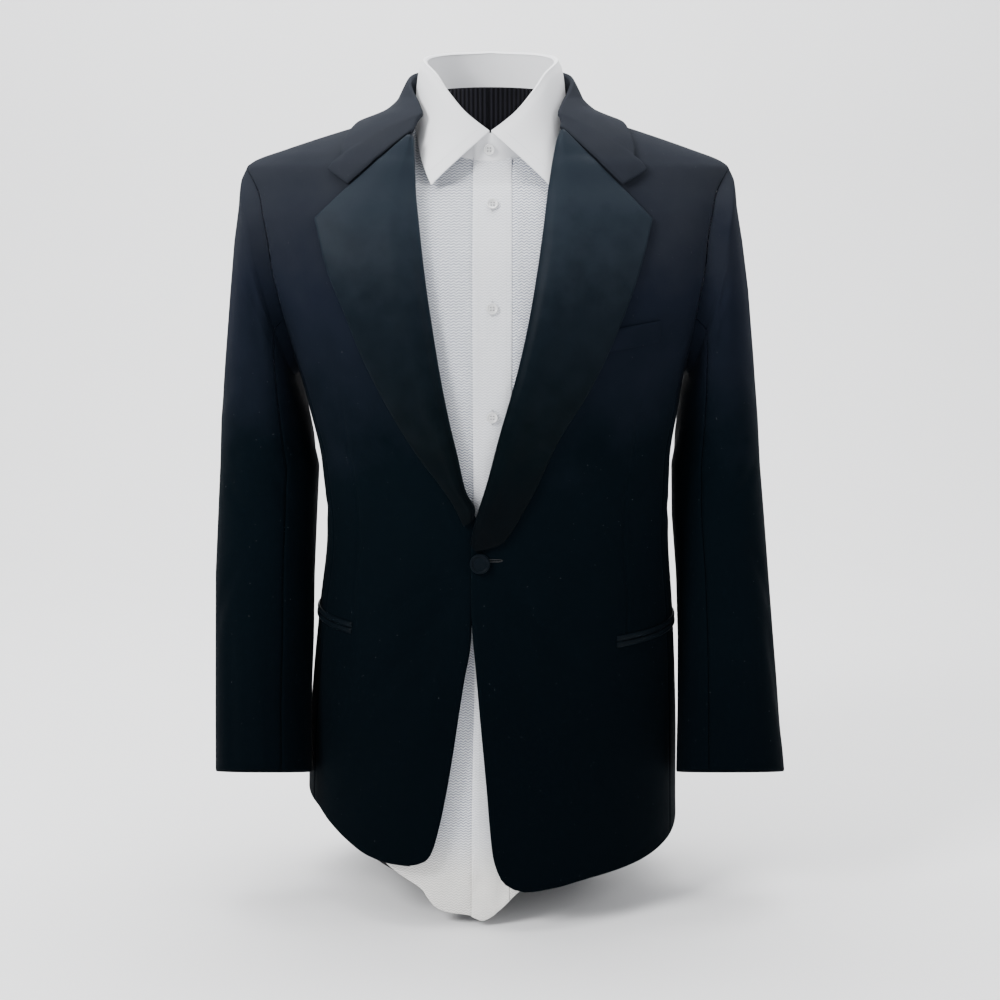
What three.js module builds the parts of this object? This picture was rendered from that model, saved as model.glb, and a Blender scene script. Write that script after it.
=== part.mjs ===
// A dinner jacket worn over a dress shirt on a limbless torso form.
// Millimetres, +Z up. The origin is the middle of the form's flat base, the front faces -Y,
// and +X is the wearer's left. Every cloth piece is a closed wall between two faces.

import * as THREE from 'three';

// Driving dimensions
const WOOL = 1.8;
const SATIN = 1.5;
const SHIRTING = 1.0;
const SEAM_GAP = 0.4;
const ARMHOLE = { top: 762, bottom: 555, front: 72, back: 80 };
const SHIRT_ARMHOLE_INSET = 9;
const SIDE_PANEL = { front: -50, back: 70 };
const STRAIGHT_ABOVE_HEM = 300;
const JACKET_BUTTON = { x: -10, z: 374, radius: 10, thick: 4, rim: 1.6 };
const SHIRT_BUTTON = { radius: 5.6, thick: 2.2 };
const SHIRT_BUTTON_PITCH = 105;
const PLACKET = { left: -17, right: 21 };
const DEGREE = Math.PI / 180;

function rows(columns, values) {
  return values.map((value) => Object.fromEntries(columns.map((name, i) => [name, value[i]])));
}

// The outer face of the jacket's body: one rounded ring at each height
const BODY = rows(['z', 'half', 'front', 'back', 'square', 'centre'], [
  [0, 202, 150, 142, 2.2, 1],
  [90, 199, 148, 138, 2.2, 1],
  [180, 196, 142, 133, 2.2, 2],
  [300, 188, 131, 122, 2.2, 5],
  [390, 180, 124, 114, 2.2, 7],
  [460, 182, 129, 119, 2.25, 5],
  [514, 191, 135, 126, 2.3, 3],
  [553, 199, 138, 131, 2.35, 1],
  [590, 212, 137, 134, 2.4, 0],
  [626, 227, 132, 134, 2.5, -1],
  [667, 240, 123, 130, 2.6, -2],
  [708, 247, 108, 120, 2.6, -3],
  [740, 249, 93, 106, 2.4, -3],
  [758, 247, 86, 98, 2.25, -3],
  [766, 238, 82, 95, 2.15, -3],
  [778, 206, 78, 92, 2.05, -2],
  [790, 170, 73, 90, 2.0, -1],
  [800, 138, 69, 88, 1.95, 0],
  [812, 100, 66, 86, 2.0, 0],
  [825, 85, 63, 84, 2.0, 0],
  [845, 79, 61, 82, 2.0, 0],
]);

// The jacket's hem: its height at each angle round the body, in degrees from the front
const HEM = rows(['angle', 'z'], [
  [-180, 84], [-125, 98], [-90, 107], [-67, 103], [-57, 92], [-47, 80], [-37, 69], [-28, 65],
  [-1, 65], [1, 42], [9, 41.5], [16, 44], [26, 50], [50, 58], [66, 65], [90, 77], [125, 83],
  [180, 84],
]);

// Front edge and roll line of each front, then its neckline
const LEFT_EDGE = rows(['z', 'x'], [
  [42, 34], [47, 18], [58, 9], [81, 2], [148, -4], [249, -13], [338, -19], [386, -19],
  [418, -13], [458, -1], [497, 9], [565, 28], [650, 45], [725, 56], [773, 64], [795, 70],
  [822, 80], [845, 82],
]);
const RIGHT_EDGE = rows(['z', 'x'], [
  [66, -82], [69, -70], [76, -62], [91, -56], [150, -43], [257, -26], [290, -20], [335, -17],
  [355, -4], [374, 8], [395, 2], [416, -13], [446, -25], [517, -41], [603, -56], [678, -68],
  [744, -73], [790, -76], [822, -82], [845, -84],
]);

// Each lapel: its roll line and its outer edge, from the button up to the gorge seam
const LEFT_LAPEL = rows(['rollX', 'rollZ', 'edgeX', 'edgeZ'], [
  [-19, 393, -14, 386],
  [-13, 418, 9, 393],
  [-1, 458, 38, 438],
  [9, 497, 66, 497],
  [28, 565, 95, 545],
  [38, 610, 124, 607],
  [45, 650, 143, 659],
  [51, 690, 156, 706],
  [57, 735, 127, 736],
  [61, 760, 104, 759],
  [65, 780, 84, 779],
  [69, 792, 72, 791],
]);
const RIGHT_LAPEL = rows(['rollX', 'rollZ', 'edgeX', 'edgeZ'], [
  [-17, 417, -26, 411],
  [-16, 428, -35, 431],
  [-25, 446, -50, 454],
  [-33, 482, -71, 482],
  [-41, 517, -102, 535],
  [-50, 565, -124, 580],
  [-56, 603, -138, 615],
  [-62, 642, -156, 659],
  [-68, 690, -169, 707],
  [-73, 735, -137, 737],
  [-74, 756, -112, 759],
  [-75, 774, -92, 776.5],
  [-76, 786, -80, 786.5],
]);

// The jacket's collar: where it folds, and the point above which its leaf ends
const COLLAR = rows(['angle', 'foldZ', 'foldOut', 'edgeX', 'edgeY', 'edgeZ', 'edgeOut'], [
  [36, 806, 2.5, 143, -70, 765, 2.5],
  [48, 816, 2.5, 136, -55, 779, 2.5],
  [62, 827, 2.5, 127, -40, 790, 2.5],
  [76, 838, 3, 118, -20, 799, 3],
  [92, 846, 4, 112, 2, 805, 4],
  [115, 856, 4, 102, 40, 806, 4],
  [145, 863, 4, 62, 72, 810, 5],
  [180, 866, 4, 0, 84, 812, 5],
]);
const LEFT_GORGE = { inner: [70, 794], notch: [127.5, 738], tip: [152, 753] };
const RIGHT_GORGE = { inner: [-77, 791], notch: [-137.5, 739], tip: [-158, 754] };
const RIGHT_COLLAR_REACH = 5;
const COLLAR_START = 36;
const COLLAR_BELLY = 3.5;
const GORGE_BELLY = 1.6;
const GORGE_SHARE = 0.72;

// Soft troughs that the fastened button pulls into the fronts
const PULLS = rows(['x0', 'z0', 'x1', 'z1', 'depth', 'width'], [
  [-28, 352, -150, 195, 4.0, 11],
  [-34, 366, -140, 296, 2.6, 9],
  [6, 362, 105, 250, 2.6, 11],
  [30, 384, 120, 350, 1.4, 9],
  [-150, 470, -60, 420, 1.6, 12],
  [70, 430, 150, 470, 1.4, 12],
]);

// Each sleeve, as rings from the shoulder down: outermost and innermost points,
// the middle and half of its depth, how far the back tips down, and the ring's squareness
const SLEEVE_COLUMNS = ['outX', 'outZ', 'inX', 'inZ', 'y', 'half', 'tilt', 'square'];
const RIGHT_SLEEVE = rows(SLEEVE_COLUMNS, [
  [-252, 749, -202.5, 549, 3, 79, 0, 2.2],
  [-255, 727, -202, 545, 4, 83, 0, 2.2],
  [-261, 690, -201, 540, 5, 85, 0, 2.2],
  [-267, 640, -198.5, 531, 7, 84, 0, 2.2],
  [-275, 570, -194, 515, 9, 80, 0, 2.2],
  [-282, 505, -188, 486, 10, 74, 0, 2.2],
  [-285, 455, -182.5, 452, 9, 67, 3, 2.2],
  [-288, 400, -185, 400, 2, 61, 7, 2.2],
  [-290, 340, -187, 340, -12, 57, 11, 2.2],
  [-289, 275, -187, 275, -30, 54, 15, 2.2],
  [-288, 205, -189, 205, -48, 52, 19, 2.2],
  [-287, 139, -188, 139, -64, 50, 21, 2.2],
]);
const LEFT_SLEEVE = rows(SLEEVE_COLUMNS, [
  [246, 749, 204.5, 549, 3, 79, 0, 2.2],
  [249, 727, 204, 545, 4, 83, 0, 2.2],
  [256, 690, 203, 540, 5, 85, 0, 2.2],
  [264, 640, 200.5, 531, 7, 84, 0, 2.2],
  [272, 570, 198.5, 515, 9, 80, 0, 2.2],
  [279, 505, 195, 486, 10, 74, 0, 2.2],
  [283, 455, 191.5, 452, 9, 67, 3, 2.2],
  [288, 400, 192, 400, 2, 61, 7, 2.2],
  [292, 340, 196, 340, -12, 57, 11, 2.2],
  [296, 275, 197, 275, -30, 54, 15, 2.2],
  [301, 205, 196, 205, -48, 52, 19, 2.2],
  [306, 139, 194, 139, -64, 49, 21, 2.2],
]);
const SLEEVE_SEAMS = { front: 118, back: 248 };
const SLEEVE_HEAD_STAND = 3.6;
const SHIRT_CUFF = { top: 9.5, end: 10.6 };

// The neck: a ring that slopes up to the back, on which the shirt's collar stands
const NECK = { half: 64, front: 66, back: 66, seamMiddle: 803, seamSlope: 39 };
const CHEST_TOP = 745;
const SHOULDER_RISE = 10;
const NECK_HOLLOW = 7;

// The shirt's collar round the neck: the fold's height, and where the leaf ends
const SHIRT_COLLAR = rows(['angle', 'foldZ', 'edgeX', 'edgeY', 'edgeZ'], [
  [0.8, 791, 57, -88.8, 739.5],
  [8, 797, 62, -80, 751],
  [20, 808, 67, -66, 764],
  [38, 829, 72, -42, 784],
  [56, 850, 75, -16, 801],
  [80, 862, 76, 12, 818],
  [110, 872, 66, 40, 832],
  [145, 879, 41, 64, 843],
  [180, 882, 0, 76, 848],
]);

// How far the shirt and the form lie inside the jacket's outer face
const UNDER = rows(['z', 'shirt', 'form'], [
  [0, -15, -26], [180, -15, -25], [330, -13, -22], [460, -9, -17], [600, -8, -16],
  [700, -8, -16], [745, -7.5, -15], [805, 0, -4.5],
]);
const SHIRT_HEM = rows(['angle', 'z'], [
  [-180, 60], [-150, 70], [-122, 104], [-90, 112], [-70, 100], [-40, 74], [-32, 57], [-26, 47], [-20, 37],
  [-16, 20], [-12, 14], [-5, 11], [-2, 7], [2, 19], [6, 35], [12, 50], [20, 60], [60, 78],
  [85, 98], [122, 104], [150, 70], [180, 60],
]);
const BASE = rows(['z', 'half', 'front', 'back'], [
  [0, 96, 44, 104], [6, 104, 50, 110], [30, 132, 76, 118], [66, 160, 106, 118],
]);

// Smooth curve through a table's rows, with no overshoot between them
function through(table, key, name) {
  const xs = table.map((row) => row[key]);
  const ys = table.map((row) => row[name]);
  const slope = xs.slice(1).map((x, i) => (ys[i + 1] - ys[i]) / (x - xs[i]));
  const tangent = xs.map((_, i) => {
    if (i === 0) return slope[0];
    if (i === xs.length - 1) return slope[i - 1];
    if (slope[i - 1] * slope[i] <= 0) return 0;
    return (2 * slope[i - 1] * slope[i]) / (slope[i - 1] + slope[i]);
  });
  return (value) => {
    const x = Math.min(Math.max(value, xs[0]), xs[xs.length - 1]);
    let i = 0;
    while (i < xs.length - 2 && x > xs[i + 1]) i += 1;
    const width = xs[i + 1] - xs[i];
    const t = (x - xs[i]) / width;
    const rise = ys[i + 1] - ys[i];
    const bend = (tangent[i] + tangent[i + 1]) * width - 2 * rise;
    return ys[i] + t * (tangent[i] * width + t * ((rise - tangent[i] * width) - bend * (1 - t)));
  };
}

const ring = Object.fromEntries(
  ['half', 'front', 'back', 'square', 'centre'].map((name) => [name, through(BODY, 'z', name)]),
);
const hemAt = through(HEM, 'angle', 'z');
const shirtHemAt = through(SHIRT_HEM, 'angle', 'z');
const shirtInset = through(UNDER, 'z', 'shirt');
const formInset = through(UNDER, 'z', 'form');
const leftEdgeAt = through(LEFT_EDGE, 'z', 'x');
const rightEdgeAt = through(RIGHT_EDGE, 'z', 'x');

function power(value, exponent) {
  return Math.sign(value) * Math.abs(value) ** exponent;
}

function smooth(from, to, value) {
  const t = Math.min(Math.max((value - from) / (to - from), 0), 1);
  return t * t * (3 - 2 * t);
}

// Brings an angle in degrees to between -180 and 180
function halfTurn(degrees) {
  return degrees > 180 ? degrees - 360 : degrees;
}

function mix(a, b, t) {
  return a + (b - a) * t;
}

// A point of the jacket's outer face, by angle from the front and height
function skin(angle, z) {
  const bend = 2 / ring.square(z);
  const forward = Math.cos(angle);
  const depth = forward > 0 ? ring.front(z) : ring.back(z);
  return new THREE.Vector3(
    ring.centre(z) + ring.half(z) * power(Math.sin(angle), bend),
    -depth * power(forward, bend),
    z,
  );
}

// The neck's seam line, on which the shirt's collar stands
function neckSeam(angle) {
  return new THREE.Vector3(
    NECK.half * Math.sin(angle),
    -(Math.cos(angle) > 0 ? NECK.front : NECK.back) * Math.cos(angle),
    NECK.seamMiddle - NECK.seamSlope * Math.cos(angle),
  );
}

const LEVEL_TOP = 805;

// What lies inside the jacket: its rings, then a slope up to the neck
function underBody(angle, level) {
  if (level <= CHEST_TOP) return skin(angle, level);
  const t = Math.min((level - CHEST_TOP) / (LEVEL_TOP - CHEST_TOP), 1);
  const point = skin(angle, CHEST_TOP).lerp(neckSeam(angle), t);
  const ridge = Math.sin(angle) ** 8;
  point.z += Math.sin(Math.PI * t) * mix(-NECK_HOLLOW, SHOULDER_RISE, ridge);
  return point;
}

// Moves a point of a surface along its normal
function raised(surface, angle, level, out) {
  const step = 0.012;
  const rise = 0.8;
  const low = Math.min(level, LEVEL_TOP + 40);
  const across = surface(angle + step, low).sub(surface(angle - step, low));
  const up = surface(angle, Math.min(low + rise, surface === underBody ? LEVEL_TOP : 1000))
    .sub(surface(angle, low - rise));
  const normal = across.cross(up).normalize();
  return surface(angle, level).addScaledVector(normal, out);
}

// The angle at which a ring passes a given x on the front
function angleAtX(x, z) {
  const share = Math.min(Math.max((x - ring.centre(z)) / ring.half(z), -0.9999), 0.9999);
  return Math.asin(power(share, ring.square(z) / 2));
}

// The angle at which a ring passes a given y, measured from the front to one side
function angleAtY(y, z, side) {
  const depth = y < 0 ? ring.front(z) : ring.back(z);
  const share = Math.min(Math.max(-y / depth, -0.9999), 0.9999);
  return side * Math.acos(power(share, ring.square(z) / 2));
}

function distanceToLine(x, z, line) {
  const dx = line.x1 - line.x0;
  const dz = line.z1 - line.z0;
  const length = Math.hypot(dx, dz);
  const along = ((x - line.x0) * dx + (z - line.z0) * dz) / length / length;
  const away = ((x - line.x0) * dz - (z - line.z0) * dx) / length;
  return { along, away };
}

function pulled(point) {
  if (point.y > 0) return 0;
  let depth = 0;
  for (const line of PULLS) {
    const { along, away } = distanceToLine(point.x, point.z, line);
    const ends = smooth(-0.05, 0.2, along) * (1 - smooth(0.6, 1.15, along));
    depth -= line.depth * ends * Math.exp(-((away / line.width) ** 2));
  }
  return depth;
}

function jacketPoint(angle, z, out) {
  return raised(skin, angle, z, out + pulled(skin(angle, z)));
}

function shirtPoint(angle, level, out) {
  return raised(underBody, angle, level, shirtInset(level) + out);
}

// Closed wall between two grids of points; a tube closes on itself across its columns
function wall(outer, inner, isTube = false) {
  const height = outer.length;
  const width = outer[0].length;
  const positions = [];
  for (const grid of [outer, inner]) {
    for (const line of grid) {
      for (const point of line) positions.push(point.x, point.y, point.z);
    }
  }
  const index = [];
  const at = (face, i, j) => face * height * width + i * width + (j % width);
  const place = (corner) => new THREE.Vector3().fromArray(positions, corner * 3);
  const quad = (a, b, c, d) => {
    if (place(a).distanceTo(place(c)) <= place(b).distanceTo(place(d))) index.push(a, b, c, a, c, d);
    else index.push(a, b, d, b, c, d);
  };
  const spans = isTube ? width : width - 1;
  for (let i = 0; i < height - 1; i += 1) {
    for (let j = 0; j < spans; j += 1) {
      quad(at(0, i, j), at(0, i, j + 1), at(0, i + 1, j + 1), at(0, i + 1, j));
      quad(at(1, i, j), at(1, i + 1, j), at(1, i + 1, j + 1), at(1, i, j + 1));
    }
  }
  for (let j = 0; j < spans; j += 1) {
    quad(at(0, 0, j), at(1, 0, j), at(1, 0, j + 1), at(0, 0, j + 1));
    quad(at(0, height - 1, j), at(0, height - 1, j + 1), at(1, height - 1, j + 1), at(1, height - 1, j));
  }
  if (!isTube) {
    for (let i = 0; i < height - 1; i += 1) {
      quad(at(0, i, 0), at(0, i + 1, 0), at(1, i + 1, 0), at(1, i, 0));
      quad(at(0, i, width - 1), at(1, i, width - 1), at(1, i + 1, width - 1), at(0, i + 1, width - 1));
    }
  }
  return closed(positions, index);
}

// Makes the geometry, with its faces turned outwards
function closed(positions, index) {
  const corner = (i) => new THREE.Vector3().fromArray(positions, index[i] * 3);
  let volume = 0;
  for (let i = 0; i < index.length; i += 3) {
    volume += corner(i).dot(corner(i + 1).cross(corner(i + 2)));
  }
  if (volume < 0) {
    for (let i = 0; i < index.length; i += 3) {
      [index[i + 1], index[i + 2]] = [index[i + 2], index[i + 1]];
    }
  }
  const geometry = new THREE.BufferGeometry();
  geometry.setAttribute('position', new THREE.Float32BufferAttribute(positions, 3));
  geometry.setIndex(index);
  geometry.computeVertexNormals();
  return geometry;
}

const MATERIALS = {
  wool: new THREE.MeshStandardMaterial({ color: 0x0b0e12, roughness: 0.85, metalness: 0 }),
  satin: new THREE.MeshStandardMaterial({ color: 0x1d242c, roughness: 0.4, metalness: 0 }),
  shirting: new THREE.MeshStandardMaterial({ color: 0xe4e4e2, roughness: 0.8, metalness: 0 }),
  pearl: new THREE.MeshStandardMaterial({ color: 0xe9e7e0, roughness: 0.25, metalness: 0 }),
  jersey: new THREE.MeshStandardMaterial({ color: 0x101113, roughness: 0.95, metalness: 0 }),
};

const tuxedo = new THREE.Group();

function add(name, material, geometry) {
  const mesh = new THREE.Mesh(geometry, MATERIALS[material]);
  mesh.name = name;
  tuxedo.add(mesh);
}

function spread(from, to, count) {
  return Array.from({ length: count + 1 }, (_, i) => mix(from, to, i / count));
}

// Jacket body

// Half of a seam's gap, as a turn round the body or round a sleeve
const SEAM_TURN = 0.0013;
const SLEEVE_SEAM_TURN = 0.22;

// The armhole's front or back half at a height, as a y; it is an oval in the YZ plane
function armholeY(z, isFront, inset = 0) {
  const middle = (ARMHOLE.top + ARMHOLE.bottom) / 2;
  const half = (ARMHOLE.top - ARMHOLE.bottom) / 2 - inset;
  const share = Math.min(Math.abs(z - middle) / half, 1);
  const reach = Math.sqrt(1 - share * share);
  return isFront ? -(ARMHOLE.front - inset) * reach : (ARMHOLE.back - inset) * reach;
}

function seamHeight(y, isFront) {
  const middle = (ARMHOLE.top + ARMHOLE.bottom) / 2;
  const half = (ARMHOLE.top - ARMHOLE.bottom) / 2;
  const share = y / (isFront ? ARMHOLE.front : ARMHOLE.back);
  return middle - half * Math.sqrt(1 - share * share);
}

const FRONT_SEAM_TOP = seamHeight(SIDE_PANEL.front, true);
const BACK_SEAM_TOP = seamHeight(SIDE_PANEL.back, false);
const HEM_START = 2;
const JACKET_LEVELS = [0, 0.02, 0.06, 0.15, 0.38, 0.7, 1];
const PLAIN_LEVELS = JACKET_LEVELS.filter((level) => level !== 0.02 && level !== 0.06);
const SIDE_STEPS = 8;
const SHOULDER_HEIGHTS = [731, 745, 754, 759.5, ARMHOLE.top, 765, 769, 776, 785, 796, 808, 823];
const seamHeights = (top) => spread(STRAIGHT_ABOVE_HEM, top, SIDE_STEPS).slice(1);
const FRONT_HEIGHTS = [...seamHeights(FRONT_SEAM_TOP), 620, 660, 698, ...SHOULDER_HEIGHTS];
const BACK_HEIGHTS = [...seamHeights(BACK_SEAM_TOP), 650, 695, ...SHOULDER_HEIGHTS];

// The outer boundary of a front or back panel: side seam, then armhole, then shoulder seam
function outerAngle(z, isFront, side) {
  const seamTop = isFront ? FRONT_SEAM_TOP : BACK_SEAM_TOP;
  const gap = isFront ? SEAM_TURN : -SEAM_TURN;
  if (z >= ARMHOLE.top) return side * (Math.PI / 2 - gap);
  const seamY = isFront ? SIDE_PANEL.front : SIDE_PANEL.back;
  const y = z < seamTop + 0.1 ? seamY : armholeY(z, isFront);
  return angleAtY(y, Math.max(z, STRAIGHT_ABOVE_HEM), side) - side * gap;
}

// Where the wearer's left front laps over the right one, it stands off by one wall
function lap(x, z) {
  const across = 1 - smooth(34, 90, x);
  const height = smooth(215, 300, z) * (1 - smooth(425, 500, z));
  return (WOOL + 0.9) * across * height;
}

function frontPanel(side) {
  const edgeAt = side > 0 ? leftEdgeAt : rightEdgeAt;
  const shares = [0, 0.09, 0.2, 0.32, 0.45, 0.58, 0.72, 0.86, 1];
  const lines = [];
  const bottom = hemAt(side * HEM_START);
  for (const level of JACKET_LEVELS) {
    const edgeZ = mix(bottom, STRAIGHT_ABOVE_HEM, level);
    const inner = angleAtX(edgeAt(edgeZ), edgeZ);
    const rim = outerAngle(edgeZ, true, side);
    lines.push(shares.map((share) => {
      const angle = mix(inner, rim, share);
      const z = mix(hemAt(angle / DEGREE), STRAIGHT_ABOVE_HEM, level);
      return [angle, share === 0 ? edgeZ : z];
    }));
  }
  for (const z of FRONT_HEIGHTS) {
    const inner = angleAtX(edgeAt(z), z);
    const rim = outerAngle(z, true, side);
    lines.push(shares.map((share) => [mix(inner, rim, share), z]));
  }
  const face = (out) => lines.map((line) => line.map(([angle, z]) => {
    const stand = side > 0 ? lap(skin(angle, z).x, z) : 0;
    return jacketPoint(angle, z, out + stand);
  }));
  return wall(face(0), face(-WOOL));
}

function backPanel(side) {
  const shares = [0, 0.17, 0.34, 0.5, 0.66, 0.83, 1];
  const heights = [...PLAIN_LEVELS, ...BACK_HEIGHTS];
  const face = (out) => heights.map((height) => {
    const z = height <= 1 ? STRAIGHT_ABOVE_HEM : height;
    const centre = side * (Math.PI - 0.0016);
    const rim = outerAngle(z, false, side);
    return shares.map((share) => {
      const angle = mix(centre, rim, share);
      const level = height <= 1 ? mix(hemAt(angle / DEGREE), STRAIGHT_ABOVE_HEM, height) : height;
      return jacketPoint(angle, level, out);
    });
  });
  return wall(face(0), face(-WOOL));
}

function sidePanel(side) {
  const shares = spread(0, 1, 6);
  const heights = [...PLAIN_LEVELS, ...spread(1, 2, SIDE_STEPS).slice(1)];
  const face = (out) => heights.map((height) => shares.map((share) => {
    const y = mix(SIDE_PANEL.front, SIDE_PANEL.back, share);
    const top = seamHeight(y, y < 0) - SEAM_GAP;
    const z = height <= 1 ? STRAIGHT_ABOVE_HEM : mix(STRAIGHT_ABOVE_HEM, top, height - 1);
    const angle = angleAtY(y, z, side) + side * SEAM_TURN * (1 - 2 * share);
    const level = height <= 1 ? mix(hemAt(angle / DEGREE), STRAIGHT_ABOVE_HEM, height) : z;
    return jacketPoint(angle, level, out);
  }));
  return wall(face(0), face(-WOOL));
}

for (const [name, side] of [['left', 1], ['right', -1]]) {
  add(`jacket_front_${name}`, 'wool', frontPanel(side));
  add(`jacket_side_${name}`, 'wool', sidePanel(side));
  add(`jacket_back_${name}`, 'wool', backPanel(side));
}

// Sleeves

// The ring round the armhole, lying on the body's outer face
function armholeRing(side, turns, surface, inset, out) {
  const middle = (ARMHOLE.top + ARMHOLE.bottom) / 2;
  const half = (ARMHOLE.top - ARMHOLE.bottom) / 2 - inset;
  return turns.map((turn) => {
    const z = middle + half * Math.cos(turn);
    const y = -(Math.sin(turn) > 0 ? ARMHOLE.front - inset : ARMHOLE.back - inset) * Math.sin(turn);
    return surface(angleAtY(y, z, side), z, out);
  });
}

function sleeveRing(row, turns, shrink) {
  const bend = 2 / row.square;
  const centre = new THREE.Vector3((row.outX + row.inX) / 2, row.y, (row.outZ + row.inZ) / 2);
  const reach = new THREE.Vector3((row.outX - row.inX) / 2, 0, (row.outZ - row.inZ) / 2);
  const size = reach.length();
  const tilt = row.tilt * DEGREE;
  const forward = new THREE.Vector3(0, -Math.cos(tilt), Math.sin(tilt));
  return turns.map((turn) => centre.clone()
    .addScaledVector(reach, ((size - shrink) / size) * power(Math.cos(turn), bend))
    .addScaledVector(forward, (row.half - shrink) * power(Math.sin(turn), bend)));
}

function between(table, position) {
  const low = Math.min(Math.floor(position), table.length - 2);
  const t = position - low;
  return Object.fromEntries(
    Object.keys(table[0]).map((key) => [key, mix(table[low][key], table[low + 1][key], t)]),
  );
}

function jacketSleeve(table, side, from, to, count) {
  const turns = spread(from * DEGREE, to * DEGREE, count);
  const face = (shrink) => [
    armholeRing(side, turns, jacketPoint, shrink - WOOL - 0.6, SLEEVE_HEAD_STAND),
    ...table.map((row) => sleeveRing(row, turns, shrink)),
  ];
  return wall(face(0), face(WOOL));
}

for (const [name, side, table] of [['left', 1, LEFT_SLEEVE], ['right', -1, RIGHT_SLEEVE]]) {
  const { front, back } = SLEEVE_SEAMS;
  const top = jacketSleeve(table, side, back - 360 + SLEEVE_SEAM_TURN, front - SLEEVE_SEAM_TURN, 13);
  const under = jacketSleeve(table, side, front + SLEEVE_SEAM_TURN, back - SLEEVE_SEAM_TURN, 8);
  add(`jacket_sleeve_top_${name}`, 'wool', top);
  add(`jacket_sleeve_under_${name}`, 'wool', under);
}

// Lapels and collar

const CLEAR = 0.3;
const LAPEL_BELLY = 2.2;
const FULL_WIDTH = 60;

// How far a lapel or the collar's end stands off, from its roll line to its edge
function edgeRise(share) {
  return mix(0.9, 2.6, smooth(0, 0.3, share));
}

function lapel(table, side) {
  const shares = [0, 0.12, 0.34, 0.6, 0.82, 1];
  const face = (out) => table.map((row, i) => shares.map((share) => {
    const x = mix(row.rollX, row.edgeX, share);
    const z = mix(row.rollZ, row.edgeZ, share);
    const width = Math.hypot(row.edgeX - row.rollX, row.edgeZ - row.rollZ);
    const fullness = Math.min(width / FULL_WIDTH, 1);
    const rise = edgeRise(share) + LAPEL_BELLY * fullness * Math.sin(Math.PI * share);
    const stand = side > 0 ? lap(x, z) : 0;
    const ends = i === 0 ? 0.5 : 1;
    return jacketPoint(angleAtX(x, z), z, stand + rise * ends + CLEAR + out);
  }));
  return wall(face(SATIN), face(0));
}

add('lapel_left', 'satin', lapel(LEFT_LAPEL, 1));
add('lapel_right', 'satin', lapel(RIGHT_LAPEL, -1));

const collarCurve = Object.fromEntries(
  Object.keys(COLLAR[0]).slice(1).map((name) => [name, through(COLLAR, 'angle', name)]),
);

// The angle of a point near the ring at its height
function ringAngle(x, y, z) {
  const bend = ring.square(z) / 2;
  const depth = y < 0 ? ring.front(z) : ring.back(z);
  return Math.atan2(power((x - ring.centre(z)) / ring.half(z), bend), power(-y / depth, bend));
}

// One column of the collar's leaf, from the fold down to the outer edge
function collarPlace(degrees, side, share) {
  const edgeZ = collarCurve.edgeZ(degrees);
  const further = side < 0 ? RIGHT_COLLAR_REACH * (1 - smooth(COLLAR_START, 110, degrees)) : 0;
  const reach = collarCurve.edgeX(degrees) + further;
  const edge = ringAngle(side * reach, collarCurve.edgeY(degrees), edgeZ);
  const belly = COLLAR_BELLY * Math.sin(Math.PI * share);
  return {
    angle: mix(side * degrees * DEGREE, degrees === 180 ? side * Math.PI : edge, share),
    z: mix(collarCurve.foldZ(degrees), edgeZ, share),
    out: mix(collarCurve.foldOut(degrees), collarCurve.edgeOut(degrees), share) + belly,
  };
}

function collarColumn(degrees, side, shares, out) {
  return shares.map((share) => {
    const place = collarPlace(degrees, side, share);
    return raised(skin, place.angle, place.z, place.out + out);
  });
}

// The collar's end, along the gorge seam and then the notch
function gorgeColumn(gorge, side, shares, out, blend) {
  const [inner, notch, tip] = [gorge.inner, gorge.notch, gorge.tip];
  return shares.map((share) => {
    const isGorge = share < GORGE_SHARE;
    const [from, to] = isGorge ? [inner, notch] : [notch, tip];
    const t = isGorge ? share / GORGE_SHARE : (share - GORGE_SHARE) / (1 - GORGE_SHARE);
    const x = mix(from[0], to[0], t);
    const z = mix(from[1], to[1], t);
    const rise = edgeRise(share) + GORGE_BELLY * Math.sin(Math.PI * share);
    const end = { angle: angleAtX(x, z), z, out: rise + CLEAR + out };
    const next = collarPlace(COLLAR_START, side, share);
    return raised(
      skin,
      mix(end.angle, next.angle, blend),
      mix(end.z, next.z, blend),
      mix(end.out, next.out + out, blend),
    );
  });
}

function jacketCollar() {
  const shares = [0, 0.12, 0.3, 0.5, 0.72, 0.86, 1];
  const around = [44, 53, 64, 76, 92, 108, 126, 144, 162, 180];
  const face = (out) => [
    gorgeColumn(LEFT_GORGE, 1, shares, out, 0),
    gorgeColumn(LEFT_GORGE, 1, shares, out, 0.5),
    collarColumn(COLLAR_START, 1, shares, out),
    ...around.map((degrees) => collarColumn(degrees, 1, shares, out)),
    ...around.slice(0, -1).reverse().map((degrees) => collarColumn(degrees, -1, shares, out)),
    collarColumn(COLLAR_START, -1, shares, out),
    gorgeColumn(RIGHT_GORGE, -1, shares, out, 0.5),
    gorgeColumn(RIGHT_GORGE, -1, shares, out, 0),
  ];
  return wall(face(WOOL), face(0));
}

function collarStand() {
  const angles = spread(-280, -80, 20).map((degrees) => (degrees + 360) % 360);
  const shares = [0, 0.5, 1];
  const face = (out) => angles.map((degrees) => shares.map((share) => {
    const folded = degrees > 180 ? 360 - degrees : degrees;
    const z = mix(824.5, collarCurve.foldZ(folded) - 1, share);
    return raised(skin, degrees * DEGREE, z, mix(0, collarCurve.foldOut(folded) - 1, share) + out);
  }));
  return wall(face(0), face(-WOOL));
}

add('jacket_collar', 'wool', jacketCollar());
add('jacket_collar_stand', 'wool', collarStand());

// Pockets and button, made from the front's points moved out

const TRIM_CLEAR = 0.8;
const WELT = { x0: 62, z0: 594, x1: 165, z1: 610, height: 21, thick: 1.2 };
const BESOM = { height: 5.6, thick: 1.4, rise: 5, pitch: 6.2 };

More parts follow.
